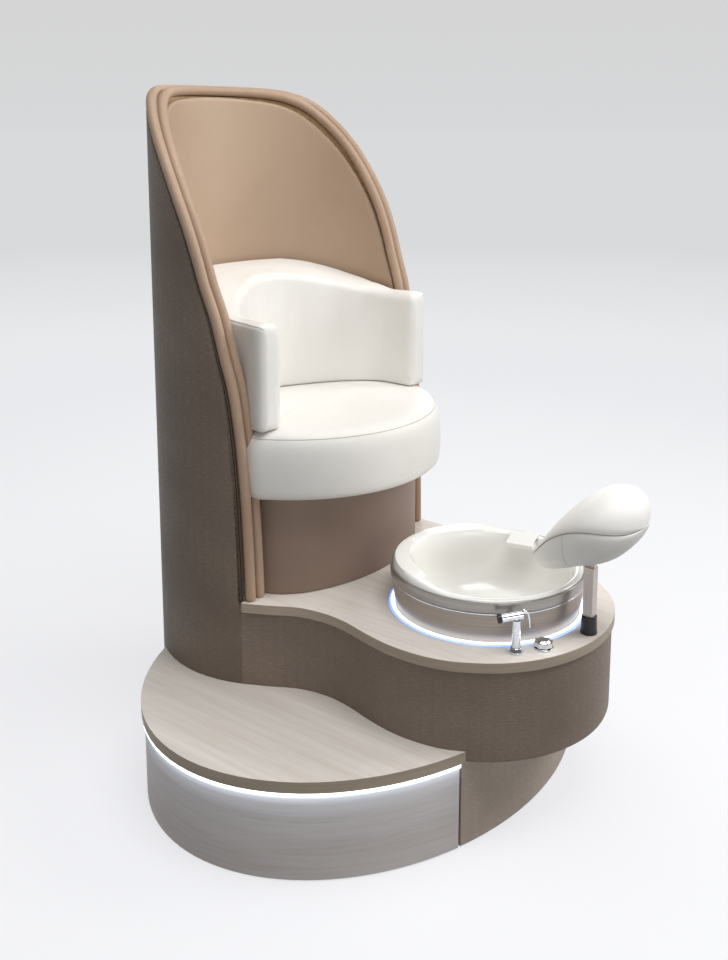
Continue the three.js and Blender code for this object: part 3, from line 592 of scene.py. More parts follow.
def hood_wall(name, off, t, z0, d, mats, slot, replaces, round_r, inside, puff=0.0, seam=True):
    L = edge_line(d)
    b = B - off
    a = A - off
    L = L[L[:, 0] < b * 0.93]
    t_end = math.asin(L[-1][0] / b)
    side_t = np.arcsin(np.clip(L[:, 0] / b, -1, 1))
    back_t = np.linspace(t_end, math.pi - t_end, 60)[1:-1]
    T = np.r_[side_t, back_t, math.pi - side_t[::-1]]
    zt = np.r_[L[:, 1], np.interp(b * np.sin(back_t), [L[-1][0], b], [L[-1][1], 1729.0 - d]), L[::-1, 1]]
    zt[len(L):len(L) + len(back_t)] = np.minimum(zt[len(L):len(L) + len(back_t)], 1729.0 - d)
    offs = [0, 0.8, 1.8, 3.0, 4.6, 6.6, 9, 12, 16, 21, 28]
    rows_n = 70
    rows = []
    EY, EZ = L[:, 0], L[:, 1]
    C = len(T)
    Zg = np.zeros((rows_n + len(offs), C))
    for j in range(C):
        top = zt[j]
        lows = z0 + (top - 28 - z0) * (np.arange(rows_n) / rows_n)
        Zg[:, j] = np.r_[lows, top - np.array(offs[::-1], float)]
    R = Zg.shape[0]
    outer, inner = np.zeros((R, C, 3)), np.zeros((R, C, 3))
    uvs = np.zeros((R, C, 2))
    fine_t = np.linspace(T[0], T[-1], 2000)
    fs = np.r_[0, np.cumsum(np.hypot(np.diff(a * np.cos(fine_t)), np.diff(b * np.sin(fine_t))))]
    S = np.interp(T, fine_t, fs)
    for j in range(C):
        ct, st = math.cos(T[j]), math.sin(T[j])
        nrm = np.array([ct / a, st / b]) / math.hypot(ct / a, st / b)
        p = np.array([a * ct, b * st])
        y = p[1]
        # distance from the front and top edge, in side view
        dd = np.min(np.hypot(EY[None, ::3] - y, EZ[None, ::3] - Zg[:, j][:, None]), axis=1)
        if y > L[-1][0]:
            dd = np.minimum(dd, zt[j] - Zg[:, j])
        low = Zg[:, j] < L[0][1]
        edge = np.minimum(dd, abs(y - L[0][0])) + (0 if inside else 1) * round_r * (1 - smoothstep(Zg[:, j], 436, 460))
        dd = np.where(low, edge, dd)
        dd = np.minimum(dd, (Zg[:, j] - z0) + 2)
        x = np.clip(dd / round_r, 0, 1)
        sink = round_r * 0.62 * (1 - np.sqrt(1 - (1 - x) ** 2))
        bulge = puff * smoothstep(dd, 0, 120)
        o = (-sink + bulge)
        if inside:
            o = -o
        for i in range(R):
            q = p + nrm * o[i]
            r = p + nrm * (-t if not inside else t)
            outer[i, j] = (q[0], q[1], Zg[i, j])
            inner[i, j] = (r[0], r[1], Zg[i, j])
        uvs[:, j, 0] = S[j] * MM
        uvs[:, j, 1] = Zg[:, j] * MM
    V, F = shell(outer, inner)
    uv = np.vstack([uvs.reshape(-1, 2)] * 2)
    return make(name, V, F, mats, replaces=replaces, slot=slot, uv=uv, sharp=50)


# the hood takes the darkest vinyl copy: painted shade
hood_wall("hood_vinyl_skin", 0.3, 17.6, 4.0, 28, VINYL_HOOD_PAINTED_SHADE, "vinyl", "hood_skin", 11, False, puff=0.3)
hood_wall("hood_leather_liner", 53.6, 17.0, 460.6, 33, TAN, "tan_leather", "hood_liner", 10, True)


def roll_path(a, b, d=13.7):
    c = shift(EDGE_F, d)
    keep = [c[0]]
    for p in c[1:]:
        if p[0] >= keep[-1][0]:
            keep.append(p)
    c = np.array(keep)
    side = c[c[:, 0] < 0.80 * b]
    left = np.stack([a * np.sqrt(1 - (side[:, 0] / b) ** 2), side[:, 0], side[:, 1]], 1)
    t0 = math.asin(side[-1][0] / b)
    tt = np.linspace(t0, math.pi - t0, 60)[1:-1]
    ys = b * np.sin(tt)
    back = np.stack([a * np.cos(tt), ys, np.interp(ys, c[:, 0], c[:, 1])], 1)
    right = left[::-1] * np.array([-1, 1, 1])
    P = np.vstack([left, back, right])
    P[0][2] = P[-1][2] = DECK_Z + 0.4
    return resample(P, 520)


def roll(name, a, b, node):
    P = roll_path(a, b)
    s = arclen(P)
    e = np.minimum(s, s[-1] - s)
    # rounded ends that stand on the deck, and the slight swelling of a stuffed roll
    r = 13.1 * np.sqrt(np.clip(1 - (1 - np.clip(e / 7.0, 0, 1)) ** 2 * 0.55, 0, 1))
    r = r * (1 + 0.012 * np.sin(s / 61.0) + 0.008 * np.sin(s / 23.0 + 1.3))
    ob = tube(name, P, np.minimum(r, 13.2), ROLL, sides=28, replaces=node, slot="roll_leather")
    return ob, P


roll_o, PO = roll("hood_roll_outer_leather", A - 13.5, B - 13.5, "hood_roll_outer")
roll_i, PI_ = roll("hood_roll_inner_leather", A - WALL + 13.5, B - WALL + 13.5, "hood_roll_inner")
# dark welt between the two rolls: painted shade of the groove between them
mid = (PO + PI_) / 2
mid[:, 2] -= 0.0
toin = []
tube("hood_roll_groove_shade_welt", mid[2:-2], 2.6, SEAM_D_PAINTED_SHADE, sides=10, slot="roll_leather")

# dark cord in the groove between the outer roll and the vinyl: painted shade of the groove
CORD_PAINTED_SHADE = plastic("edge_cord", srgb(82, 69, 57), rough=(0.6, 0.75), grain=2400, bump=0.0002)
cord = roll_path(A - 6.8, B - 6.8, 26.4)
tube("hood_edge_groove_shade_cord", cord[2:-2], 2.4, CORD_PAINTED_SHADE, sides=10, slot="roll_leather")

# ------------------------------------------------------------------ platform
WALL_L = catmull(S_LEFT + ROUND + [(30, -909)] + [(-x, y) for x, y in ROUND[:-1]][::-1] + S_RIGHT, 420)


def wall_in(d):
    L = shift(WALL_L, -d)
    return L[L[:, 1] < -133.6]


def skirt(name, line, thick, z0, z1, mats, replaces, slot, r=5.0, puff=0.0, u0=0.0):
    """Upholstered wall along a plan line; thick is to the inside."""
    L = np.array(line, float)
    I = shift(L, -thick)
    s = arclen(L)
    hh = z1 - z0
    zs = np.unique(np.r_[np.array([0, 0.6, 1.4, 2.4, 3.6, 5.2]), np.linspace(7, hh - 7, 26), hh - np.array([5.2, 3.6, 2.4, 1.4, 0.6, 0])])
    R, C = len(zs), len(L)
    N = (L - I) / thick
    outer, inner, uv = np.zeros((R, C, 3)), np.zeros((R, C, 3)), np.zeros((R, C, 2))
    for i, z in enumerate(zs):
        d = min(z, hh - z)
        x = min(d / r, 1)
        sink = r * 0.5 * (1 - math.sqrt(1 - (1 - x) ** 2)) - puff * min(1, d / 60)
        outer[i, :, :2] = L - N * sink
        inner[i, :, :2] = I
        outer[i, :, 2] = inner[i, :, 2] = z0 + z
        uv[i, :, 0] = (u0 + s) * MM
        uv[i, :, 1] = (z0 + z) * MM
    V, F = shell(outer, inner)
    return make(name, V, F, mats, replaces=replaces, slot=slot, uv=np.vstack([uv.reshape(-1, 2)] * 2), sharp=50)


# the platform's wall runs up to the hood's wall with only a hairline joint
skirt_line = np.vstack([[(-378.0, -132.4)], wall_in(0), [(378.0, -132.4)]])
# the platform's skirt takes a lighter vinyl copy: painted light
skirt("platform_vinyl_skirt", skirt_line, 17.8, 217.4, 434.6, VINYL_PLATFORM_PAINTED_LIGHTER, "platform_skirt", "vinyl", r=5)


def in_poly(p, poly):
    c = False
    j = len(poly) - 1
    for i in range(len(poly)):
        a, b = poly[i], poly[j]
        if (a[1] > p[1]) != (b[1] > p[1]) and p[0] < (b[0] - a[0]) * (p[1] - a[1]) / (b[1] - a[1]) + a[0]:
            c = not c
        j = i
    return c


P_IN = wall_in(12)
P_POLY = [tuple(p) for p in P_IN] + [(290, -125), (-290, -125)]
OV = ell_arc(STEP_A - 8, STEP_B - 8, math.radians(246.9), math.radians(330), 240, STEP_C)
front = np.array([p for p in OV if p[0] < 0 or in_poly(p, P_POLY)])
side_p = P_IN[(P_IN[:, 0] > 200) & (P_IN[:, 1] > front[-1][1] + 10)]
PL = np.vstack([front, side_p])
PL = resample(PL, 300)
# ease the corner where the oval meets the straight wall
K = np.array([1, 4, 6, 4, 1]) / 16
for _ in range(6):
    q = PL.copy()
    for k in range(2):
        q[2:-2, k] = np.convolve(PL[:, k], K, "valid")
    PL = q
# the plinth takes the lightest vinyl copy: painted light
skirt("plinth_vinyl_skirt", PL, 15.8, 4.0, 216.6, VINYL_PLINTH_PAINTED_LIT, "plinth_skirt", "vinyl", r=4, u0=137.0)


def board(name, outline, holes, z0, z1, mats, replaces, bevel=1.6):
    """Flat board from a plan outline with holes: rounded arris, separate material for its edge band, darkened by
    painted shade on its upright faces.
    """
    bm = bmesh.new()
    loops = [outline] + list(holes)
    edges = []
    for lp in loops:
        vs = [bm.verts.new((p[0] * MM, p[1] * MM, z0 * MM)) for p in lp]
        for i in range(len(vs)):
            edges.append(bm.edges.new((vs[i], vs[(i + 1) % len(vs)])))
    bmesh.ops.triangle_fill(bm, use_beauty=True, edges=edges, normal=(0, 0, 1))
    bmesh.ops.dissolve_limit(bm, angle_limit=0.01, verts=bm.verts, edges=bm.edges)
    faces = list(bm.faces)
    r = bmesh.ops.extrude_face_region(bm, geom=faces)
    bmesh.ops.translate(bm, verts=[v for v in r["geom"] if isinstance(v, bmesh.types.BMVert)], vec=(0, 0, (z1 - z0) * MM))
    bmesh.ops.recalc_face_normals(bm, faces=bm.faces)
    E = [e for e in bm.edges if len(e.link_faces) == 2 and e.calc_face_angle(0) > math.radians(60)
         and abs(e.verts[0].co.z - e.verts[1].co.z) < 1e-6]
    bmesh.ops.bevel(bm, geom=E, offset=bevel * MM, segments=3, profile=0.5, affect="EDGES", clamp_overlap=True)
    bm.normal_update()
    for f in bm.faces:
        f.smooth = True
        # upright faces take the darker edge material: painted shade
        f.material_index = 0 if abs(f.normal.z) > 0.93 else 1
    for e in bm.edges:
        if len(e.link_faces) == 2 and e.calc_face_angle(0) > math.radians(40):
            e.smooth = False
    me = bpy.data.meshes.new(name)
    bm.to_mesh(me)
    bm.free()
    for m in mats:
        me.materials.append(m)
    ob = bpy.data.objects.new(name, me)
    sc.collection.objects.link(ob)
    w = ob.modifiers.new("flat_faces", "WEIGHTED_NORMAL")
    w.keep_sharp = True
    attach(ob, "root")
    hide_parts(replaces)
    return ob


deck_front = wall_in(-6)
deck_front = deck_front[deck_front[:, 1] < -136]
di = ell_arc(370, 320, -0.432, math.pi + 0.432, 90)
circ = lambda c, r, n=64: [tuple(p) for p in ell_arc(r, r, 0, 2 * math.pi, n, c)[:-1]]
board("deck_veneer", [(-379, -133.5)] + [tuple(p) for p in deck_front] + [(379, -133.5)] + [tuple(p) for p in di],
      [circ(BASIN, 216, 128), circ((-188, -802), 12.7, 24), circ((-132, -841), 9, 24), circ((0, -887), 12.6, 32)],
      435, 460, [WOOD, WOOD_EDGE_PAINTED_SHADE], "deck")

# the tread's upright faces take the darker edge material: painted shade
refine("step_tread", [WOOD, WOOD_EDGE_PAINTED_SHADE], bevel=1.6, segs=3, pick=lambda f: 0 if abs(f.normal.z) > 0.93 else 1)
refine("step_riser", RISER_PAINTED_GLOW, bevel=0.8)
refine("step_led_strip", LED_STEP, bevel=0.6)

# ------------------------------------------------------------------ drum under the seat
dr = [(-306, -138), (-286, -178), (-243, -220), (-195, -246), (-149, -263), (-80, -278), (0, -284)]
DRUM_L = catmull(dr + [(-x, y) for x, y in dr[:-1]][::-1], 200)
# the drum takes the darkened tan leather: painted shade under the seat
skirt("seat_drum_leather", DRUM_L, 17.6, 460.6, 719.4, DRUM_PAINTED_SHADE, "seat_base_panel", "tan_leather", r=5)


# ------------------------------------------------------------------ seat cushion
def seat_outline(n=240):
    """Plan outline of the seat: a wide front arc that runs into the ellipse inside the hood."""
    R = 386.0
    t = math.asin(-163 / R)
    fr = ell_arc(R, R, math.pi - t, 2 * math.pi + t, 120)
    rear = ell_arc(350, 300, -0.36, math.pi + 0.36, 120)
    pts = np.vstack([fr, rear[2:-2]])
    P = catmull(pts[::6], n, closed=True)[:-1]
    return P


def ring_loft(name, outline, prof, mats, c=(0, 0), body="root", replaces=(), slot=None, bump=None, fmat_rows=None, cap_rows=10, low_cap=True):
    """Lofted cushion: each profile row is (inset, z). The caps shrink to the middle in rings."""
    L = np.array(outline, float)
    n = len(L)
    T = np.roll(L, -1, 0) - np.roll(L, 1, 0)
    T /= np.linalg.norm(T, axis=1, keepdims=True)
    N = np.stack([T[:, 1], -T[:, 0]], 1)
    if area2(L) < 0:
        N = -N
    rows = []
    for ins, z in prof:
        rows.append(np.c_[L - N * ins, np.full(n, z)])
    V = np.vstack(rows)
    F = grid_faces(len(prof), n, wrap_c=True)
    M = [0] * len(F)
    V = list(V)
    for end, (ins, z) in ((0, prof[0]), (len(prof) - 1, prof[-1])):
        ring0 = rows[end][:, :2]
        cen = ring0.mean(0)
        prev = end * n
        for k in range(1, cap_rows):
            f = 1 - k / cap_rows
            base = len(V)
            for p in ring0:
                V.append(np.array([*(cen + (p - cen) * f), z]))
            for j in range(n):
                q = (prev + j, prev + (j + 1) % n, base + (j + 1) % n, base + j)
                F.append(q if end else tuple(reversed(q)))
                M.append(0)
            prev = base
        V.append(np.array([*cen, z]))
        for j in range(n):
            q = (prev + j, prev + (j + 1) % n, len(V) - 1)
            F.append(q if end else tuple(reversed(q)))
            M.append(0)
    V = np.array(V)
    if bump is not None:
        V = bump(V)
    return make(name, V, F, mats, body=body, replaces=replaces, slot=slot, fmat=M)


def area2(P):
    Q = np.roll(P, -1, 0)
    return float(np.sum(P[:, 0] * Q[:, 1] - P[:, 1] * Q[:, 0]) / 2)


def fbm(x, y, z=0.0, k=1.0):
    return noise.noise(Vector((x * k, y * k, z * k)))


SEAT = seat_outline()
seat_prof = [(30, 721.0), (16, 721.2), (9, 723), (4.5, 727), (2, 733), (0.6, 742), (-0.6, 757), (-1.2, 775), (-1.2, 795),
             (-0.4, 815), (1.0, 832), (3.4, 847), (6.8, 859), (10.4, 867), (13.2, 871.2), (14.6, 872.8), (15.2, 873.4),
             (16.6, 875.4), (19.5, 878.6), (24, 881.6), (31, 884.4), (42, 886.6), (60, 888.0)]


def seat_bump(V):
    for v in V:
        x, y, z = v
        if z > 872:
            r = math.hypot(x / 380, (y + 30) / 380)
            v[2] += 4.0 * max(0, 1 - r * r) + 0.9 * fbm(x, y, 0, 0.006)
            if y > -60:
                v[2] = min(v[2], 889.5)
        elif z > 725:
            a = math.atan2(y + 30, x)
            k = smoothstep(z, 725, 745) * (1 - smoothstep(z, 862, 873))
            f = 1 + float(k) * (0.0016 * fbm(math.cos(a) * 5, math.sin(a) * 5, z * 0.012) + 0.0007 * fbm(math.cos(a) * 16, math.sin(a) * 16, z * 0.03))
            v[0] *= f
            v[1] = -30 + (y + 30) * f
    return V


seat = ring_loft("seat_cushion_leather", SEAT, seat_prof, WHITE, replaces="seat_cushion", slot="white_leather", bump=seat_bump)


def closed_tube(name, P, r, mats, sides=8, **kw):
    P = np.array(P, float)
    n = len(P)
    T = np.roll(P, -1, 0) - np.roll(P, 1, 0)
    T /= np.linalg.norm(T, axis=1, keepdims=True)
    V = []
    for i in range(n):
        N = np.cross(T[i], [0, 0, 1.0])
        N /= np.linalg.norm(N)
        Bn = np.cross(T[i], N)
        for k in range(sides):
            a = 2 * math.pi * k / sides
            V.append(P[i] + r * (math.cos(a) * N + math.sin(a) * Bn))
    return make(name, V, grid_faces(n, sides, wrap_r=True, wrap_c=True), mats, **kw)


def offset_closed(L, d):
    L = np.array(L, float)
    T = np.roll(L, -1, 0) - np.roll(L, 1, 0)
    T /= np.linalg.norm(T, axis=1, keepdims=True)
    N = np.stack([T[:, 1], -T[:, 0]], 1) * (1 if area2(L) > 0 else -1)
    return L + N * d


# welt where the seat's top panel meets its border
w = offset_closed(SEAT, -14.6)
closed_tube("seat_cushion_welt", np.c_[w, np.full(len(w), 873.2)], 1.15, SEAM, slot="white_leather")

# ------------------------------------------------------------------ back and arm cushion
inner_half = [(-272, -182), (-274, -140), (-273, -79), (-258, -40), (-229, -7), (-190, 28), (-150, 54), (-100, 82), (-52, 104), (0, 112)]
IN_L = catmull(inner_half + [(-x, y) for x, y in inner_half[:-1]][::-1], 400)
OUT_PTS = [(-340, -182), (-340, -160), (-336, -140), (-326, -100)] + [tuple(p) for p in ell_arc(337, 287, math.pi + 0.22, -0.22, 40)] + \
          [(326, -100), (336, -140), (340, -160), (340, -182)]
OUT_L = catmull(OUT_PTS, 400)


def z_top(y):
    return np.interp(y, [-200, -92, 10, 82, 200, 240, 400], [1154, 1155, 1171, 1189, 1226, 1235, 1235])


def back_stations(n=150):
    si, so = arclen(IN_L), arclen(OUT_L)
    # matching places on the inner and outer lines, as shares of each half
    def s_at(L, s, test):
        k = next(i for i in range(len(L)) if test(L[i]))
        return s[k]
    ki = [0, s_at(IN_L, si, lambda p: p[1] > -79), si[-1] / 2]
    ko = [0, s_at(OUT_L, so, lambda p: p[1] > -79), so[-1] / 2]
    u = np.linspace(0, 1, n + 1)
    half = np.interp(u, [0, 0.16, 1.0], [0, 1, 2])
    sti = np.interp(half, [0, 1, 2], ki)
    sto = np.interp(half, [0, 1, 2], ko)
    sti = np.r_[sti, si[-1] - sti[::-1][1:]]
    sto = np.r_[sto, so[-1] - sto[::-1][1:]]
    f = lambda L, s, q: np.stack([np.interp(q, s, L[:, 0]), np.interp(q, s, L[:, 1])], 1)
    return f(IN_L, si, sti), f(OUT_L, so, sto), sti


def back_cushion():
    PIn, POut, sti = back_stations(170)
    n = len(PIn)
    z0 = 890.6
    V, rows = [], []
    rt, ro, rb = 26.0, 15.0, 8.0
    NB, NI, NT = 5, 44, 10
    for k in range(n):
        p, q = PIn[k], POut[k]
        d = q - p
        w = np.linalg.norm(d)
        d = d / w
        h = float(z_top(0.62 * p[1] + 0.38 * q[1]))
        ho = float(z_top(q[1]))
        # end rounding of the arm's front face
        e = min(k, n - 1 - k)
        dist = np.linalg.norm(PIn[min(e, n - 1)] - PIn[0])
        R = 16.0
        x = min(dist / R, 1.0)
        endin = R * (1 - math.sqrt(max(0, 1 - (1 - x) ** 2))) if dist < R else 0.0
        sec = []
        # up the inner face from the bottom
        for a in np.linspace(0, math.pi / 2, NB):
            sec.append((rb - rb * math.sin(a) + 0, rb - rb * math.cos(a) + z0))
        for f in np.linspace(0, 1, NI)[1:-1]:
            z = z0 + rb + (h - rt - z0 - rb) * f
            sec.append((-5.5 * math.sin(math.pi * f) ** 0.8, z))
        for a in np.linspace(0, math.pi / 2, NT):
            sec.append((rt - rt * math.cos(a), h - rt + rt * math.sin(a)))
        # across the crowned top
        wi = w - rt - ro
        for f in np.linspace(0, 1, 9)[1:-1]:
            sec.append((rt + wi * f, h + (ho - h) * f + 3.0 * math.sin(math.pi * f)))
        for a in np.linspace(math.pi / 2, 0, 7):
            sec.append((w - ro + ro * math.cos(a), ho - ro + ro * math.sin(a)))
        # down the outer face
        for f in np.linspace(0, 1, 22)[1:-1]:
            z = ho - ro - (ho - ro - z0 - rb) * f
            bulge = 0.0
            sec.append((w + bulge, z))
        for a in np.linspace(0, math.pi / 2, NB):
            sec.append((w - rb + rb * math.cos(a), z0 + rb - rb * math.sin(a)))
        # the bottom
        for f in np.linspace(0, 1, 6)[1:-1]:
            sec.append((w - rb - (w - 2 * rb) * f, z0))
        row = []
        cz = (z0 + h) / 2
        for (a, z) in sec:
            aa = endin * 0.9 + a * (w - 1.8 * endin * 0.9) / w if endin else a
            zz = z0 + endin * 0.35 + (z - z0) * (1 - (0.35 + 0.6) * endin / (h - z0)) if endin else z
            row.append(np.array([p[0] + d[0] * aa, p[1] + d[1] * aa, zz]))
        rows.append(row)
    m = len(rows[0])
    V = np.array(rows)
    # soft upright folds on the back's inner face, strongest left of the middle
    s_mid = sti[-1] / 2
    for k in range(n):
        s = (sti[k] - s_mid)
        for j in range(m):
            x, y, z = V[k, j]
            if j < NB + NI + NT - 4:
                f = (z - z0) / 300.0
                env = math.exp(-((s + 60) / 210) ** 2) * math.sin(math.pi * min(1, max(0, f))) ** 0.7
                ph = s + 46 * (1 - f)
                fold = (math.sin(ph / 15.5) * 0.9 + math.sin(ph / 9.3 + 1.1) * 0.45 + 0.8 * fbm(ph * 0.02, f * 1.5, 3.1))
                fold = math.copysign(abs(fold) ** 1.3, fold)
                d = V[k, (j + m // 2) % m] - V[k, j]
                dn = POut[k] - PIn[k]
                dn = dn / np.linalg.norm(dn)
                V[k, j, 0] += dn[0] * env * fold * 1.5
                V[k, j, 1] += dn[1] * env * fold * 1.5
            # gentle unevenness of the filling
            g = 0.9 * fbm(x * 0.011, y * 0.011, z * 0.011)
            V[k, j, 0] += g * 0.6
            V[k, j, 1] += g
    flat = V.reshape(-1, 3)
    F = grid_faces(n, m, wrap_c=True)
    Vl = list(flat)
    # front faces of the two arms: rings that close towards the middle of the section
    for end in (0, n - 1):
        ring = V[end]
        cen = ring.mean(0)
        prev = [end * m + j for j in range(m)]
        yb = -182.6
        for f, push in ((0.90, 2.4), (0.76, 3.6), (0.55, 4.4), (0.3, 4.8)):
            base = len(Vl)
            for j in range(m):
                q = cen + (ring[j] - cen) * f
                q[1] = ring[j][1] - 0.0 - push * 0.55
                Vl.append(q)
            for j in range(m):
                a, b = prev[j], prev[(j + 1) % m]
                F.append((a, b, base + (j + 1) % m, base + j) if end else (b, a, base + j, base + (j + 1) % m))
            prev = [base + j for j in range(m)]
        cc = cen.copy()
        cc[1] -= 2.8
        Vl.append(cc)
        for j in range(m):
            F.append((prev[j], prev[(j + 1) % m], len(Vl) - 1) if end else (prev[(j + 1) % m], prev[j], len(Vl) - 1))
    ob = make("back_cushion_leather", Vl, F, WHITE, replaces="back_cushion", slot="white_leather")
    # piping along the outer top arris of the arms and round the back
    NBT = NB + NI - 2 + NT + 7
    pip = np.array([V[k, NBT + 3] for k in range(n)])
    return ob, pip


back, pip = back_cushion()
pip = resample(pip, 420)
tube("back_cushion_piping", pip[2:-2], 1.7, WHITE, sides=10, slot="white_leather")


# ------------------------------------------------------------------ basin
bowl_in = [(26, 399.5), (60, 400.2), (90, 401.5), (118, 405), (142, 411), (160, 420.5), (173, 432), (182, 446), (189, 463), (194.5, 485),
           (199, 510), (203, 532), (206.5, 550), (209.5, 559), (213.2, 564), (217.5, 566.4), (222.5, 567.0), (227.5, 566.4), (231, 564.6), (233, 562)]
bowl_out = [(233.4, 558), (233.4, 549), (231.5, 547), (226, 547), (222, 551), (214, 547), (208, 515), (196, 455), (180, 421), (146, 399), (90, 389),
            (24, 388), (22, 389.5), (22, 397.5)]


def ledge(v, r, a, z):
    """The bowl's rear lip rises into a wide ledge towards the seat, higher at the middle."""
    th = math.degrees(a) % 360
    k = float(smoothstep(th, 12, 42) * (1 - smoothstep(th, 150, 196)))
    inner = float(smoothstep(r, 150, 212)) if z > 398 and r < 234 and z > 440 else 0.0
    if z > 546 and r > 203:
        v[2] += 13.0 * k * float(smoothstep(r, 203, 214)) * float(1 - smoothstep(r, 228, 234))
    # the inner face leans in under the ledge
    if 398 < z and 170 < r < 216 and k > 0:
        push = 26.0 * k * float(smoothstep(z, 470, 556))
        wave = 1.0 - 0.55 * math.exp(-((th - 92) / 26) ** 2)
        rr = r - push * wave
        v[0] = BASIN[0] + rr * math.cos(a)
        v[1] = BASIN[1] + rr * math.sin(a)
    return v


prof = bowl_in + bowl_out
lathe("basin_bowl_gloss", prof, CERAMIC, seg=160, warp=lambda v, r, a, z: ledge(v, r, a, z) if (r, z) in set(bowl_in) else v,
      replaces="basin_bowl", slot="ceramic", sharp=60)
lathe("basin_rim_band_satin", round_prof([(233.8, 538), (238.6, 538), (238.6, 562), (237, 564), (233.8, 564)], 1.2), BAND, seg=160,
      replaces="basin_rim_band", slot="satin_band", sharp=50)
lathe("basin_trim_chrome", round_prof([(228, 532.6), (236.9, 532.6), (236.9, 536.4), (228, 536.4)], 1.2), CHROME, seg=160,
      replaces="basin_trim_ring", slot="chrome", sharp=50)
lathe("basin_housing_satin", round_prof([(219, 460.4), (225, 460.4), (231, 495), (234, 532), (228, 532), (225, 495)], 1.5, 3), HOUSING, seg=160,
      replaces="basin_housing", slot="taupe_metal", sharp=50)
lathe("basin_led_diffuser", [(227, 460.4), (237.4, 460.4), (237.4, 463.4), (236.2, 464.4), (230.5, 464.4), (228.4, 464)], LED_CORE, seg=160,
      replaces="basin_led_ring", slot="led", sharp=50)
lathe("basin_led_outer_lip", [(237.5, 460.4), (242.6, 460.4), (242.6, 461.6), (240.6, 463.0), (237.5, 463.6)], LED_BLUE, seg=160, slot="led", sharp=50)
refine("spout_cover", CERAMIC, bevel=5.0, segs=5)
lathe("drain_flange_chrome", round_prof([(16, 360), (21.5, 360), (21.5, 397.6), (30, 399.6), (30, 401.4), (18, 401), (16, 396)], 0.8), CHROME, seg=48,
      replaces="drain_flange", slot="chrome", sharp=50)
refine("drain_stopper", CHROME, bevel=0.9)

# ------------------------------------------------------------------ fittings
for nd, bv in (("knob_escutcheon", 0.8), ("mixer_knob", 1.2), ("sprayer_dock", 1.0), ("sprayer_body", 1.2), ("sprayer_trigger", 0.9)):
    refine(nd, CHROME, bevel=bv, segs=3, angle=26 if nd != "mixer_knob" else 40)
refine("sprayer_nozzle", BLACK, bevel=1.0)
refine("footrest_boot", BLACK, bevel=1.4, segs=3)
refine("footrest_post", ALU, bevel=1.6, segs=3)
refine("footrest_tilt_pin", STEEL, bevel=0.6)
refine("footrest_bracket", STEEL, bevel=1.0)


# ------------------------------------------------------------------ footrest pad
def pad_edge(s):
    return 708 + 62.3 * s - 54.5 * (s * s - 0.5) + 1.5 * s ** 3


def pad_point(t, u, top, out=1.0):
    """u is 0 at the rim and 1 at the pad's middle line."""
    s = math.cos(t)
    x = 95.4 * math.sin(t) * (1 + 0.556 * s) * (1 - u) * out
    k = max(0.0, 1 - s * s)
    if top:
        z = pad_edge(s) + 54.5 * k ** 0.4 * (1 + 0.9 * s) * math.sqrt(max(0.0, 1 - (1 - u) ** 2))
    else:
        z = pad_edge(s) - 102.9 * max(0.0, 1 - abs(s) ** 2.6) ** 0.76 * (1 + 0.05 * s) * math.sqrt(max(0.0, 1 - (1 - u) ** 3))
    return np.array([x, -874.4 - 138 * s, z + 0.077 * x])


def footrest_pad():
    """Leaf-shaped upholstered pad: crowned top panel, deep side panel and a pulled-in seam between them."""
    nt = 144
    us_top = [1, 0.9, 0.8, 0.7, 0.6, 0.5, 0.41, 0.33, 0.26, 0.20, 0.15, 0.11, 0.08, 0.055, 0.036, 0.022, 0.012, 0.005, 0.0015]
    us_bot = [0.0004, 0.0015, 0.004, 0.009, 0.018, 0.032, 0.052, 0.08, 0.115, 0.16, 0.21, 0.27, 0.34, 0.42, 0.51, 0.61, 0.72, 0.86, 1]
    T = [2 * math.pi * i / nt for i in range(nt)]
    rows = [[pad_point(t, u, True) for t in T] for u in us_top] + [[pad_point(t, 0.0, True) for t in T]] + \
           [[pad_point(t, u, False) for t in T] for u in us_bot]
    G = np.array(rows)
    kr = len(us_top)
    # the seam is pulled in between the two panels
    cx = np.array([0.0, -874.4])
    for r, g in ((kr - 3, 0.9965), (kr - 2, 0.992), (kr - 1, 0.986), (kr, 0.978), (kr + 1, 0.983), (kr + 2, 0.989), (kr + 3, 0.994), (kr + 4, 0.998)):
        for i in range(nt):
            G[r, i, :2] = cx + (G[r, i, :2] - cx) * g
    # slight unevenness of the stuffing, with small puckers that run off the seam
    for r in range(G.shape[0]):
        near = math.exp(-abs(r - kr) / 3.0)
        for i in range(nt):
            x, y, z = G[r, i]
            a = T[i]
            G[r, i, 2] += 0.8 * fbm(x * 0.017, y * 0.017, z * 0.017)
            if near > 0.02 and r != kr:
                p = fbm(math.cos(a) * 9, math.sin(a) * 9, r * 0.15)
                G[r, i, :2] = cx + (G[r, i, :2] - cx) * (1 + 0.0055 * near * p)
    V = G.reshape(-1, 3)
    F = grid_faces(G.shape[0], nt, wrap_c=True)
    # the pad takes the lighter white leather copy: painted light
    ob = make("footrest_pad_leather", V, F, WHITE_P_PAINTED_LIGHTER, body="footrest_head", replaces="footrest_pad", slot="white_leather")
    bm = bmesh.new()
    bm.from_mesh(ob.data)
    bmesh.ops.remove_doubles(bm, verts=bm.verts, dist=0.00006)
    bmesh.ops.dissolve_degenerate(bm, edges=bm.edges, dist=1e-6)
    holes = [e for e in bm.edges if e.is_boundary]
    if holes:
        bmesh.ops.holes_fill(bm, edges=holes, sides=0)
    bmesh.ops.recalc_face_normals(bm, faces=bm.faces)
    for f in bm.faces:
        f.smooth = True
    bm.to_mesh(ob.data)
    bm.free()
    return ob, G[kr].copy()


pad, seam = footrest_pad()
seam[:, :2] = np.array([0.0, -874.4]) + (seam[:, :2] - np.array([0.0, -874.4])) * 1.004
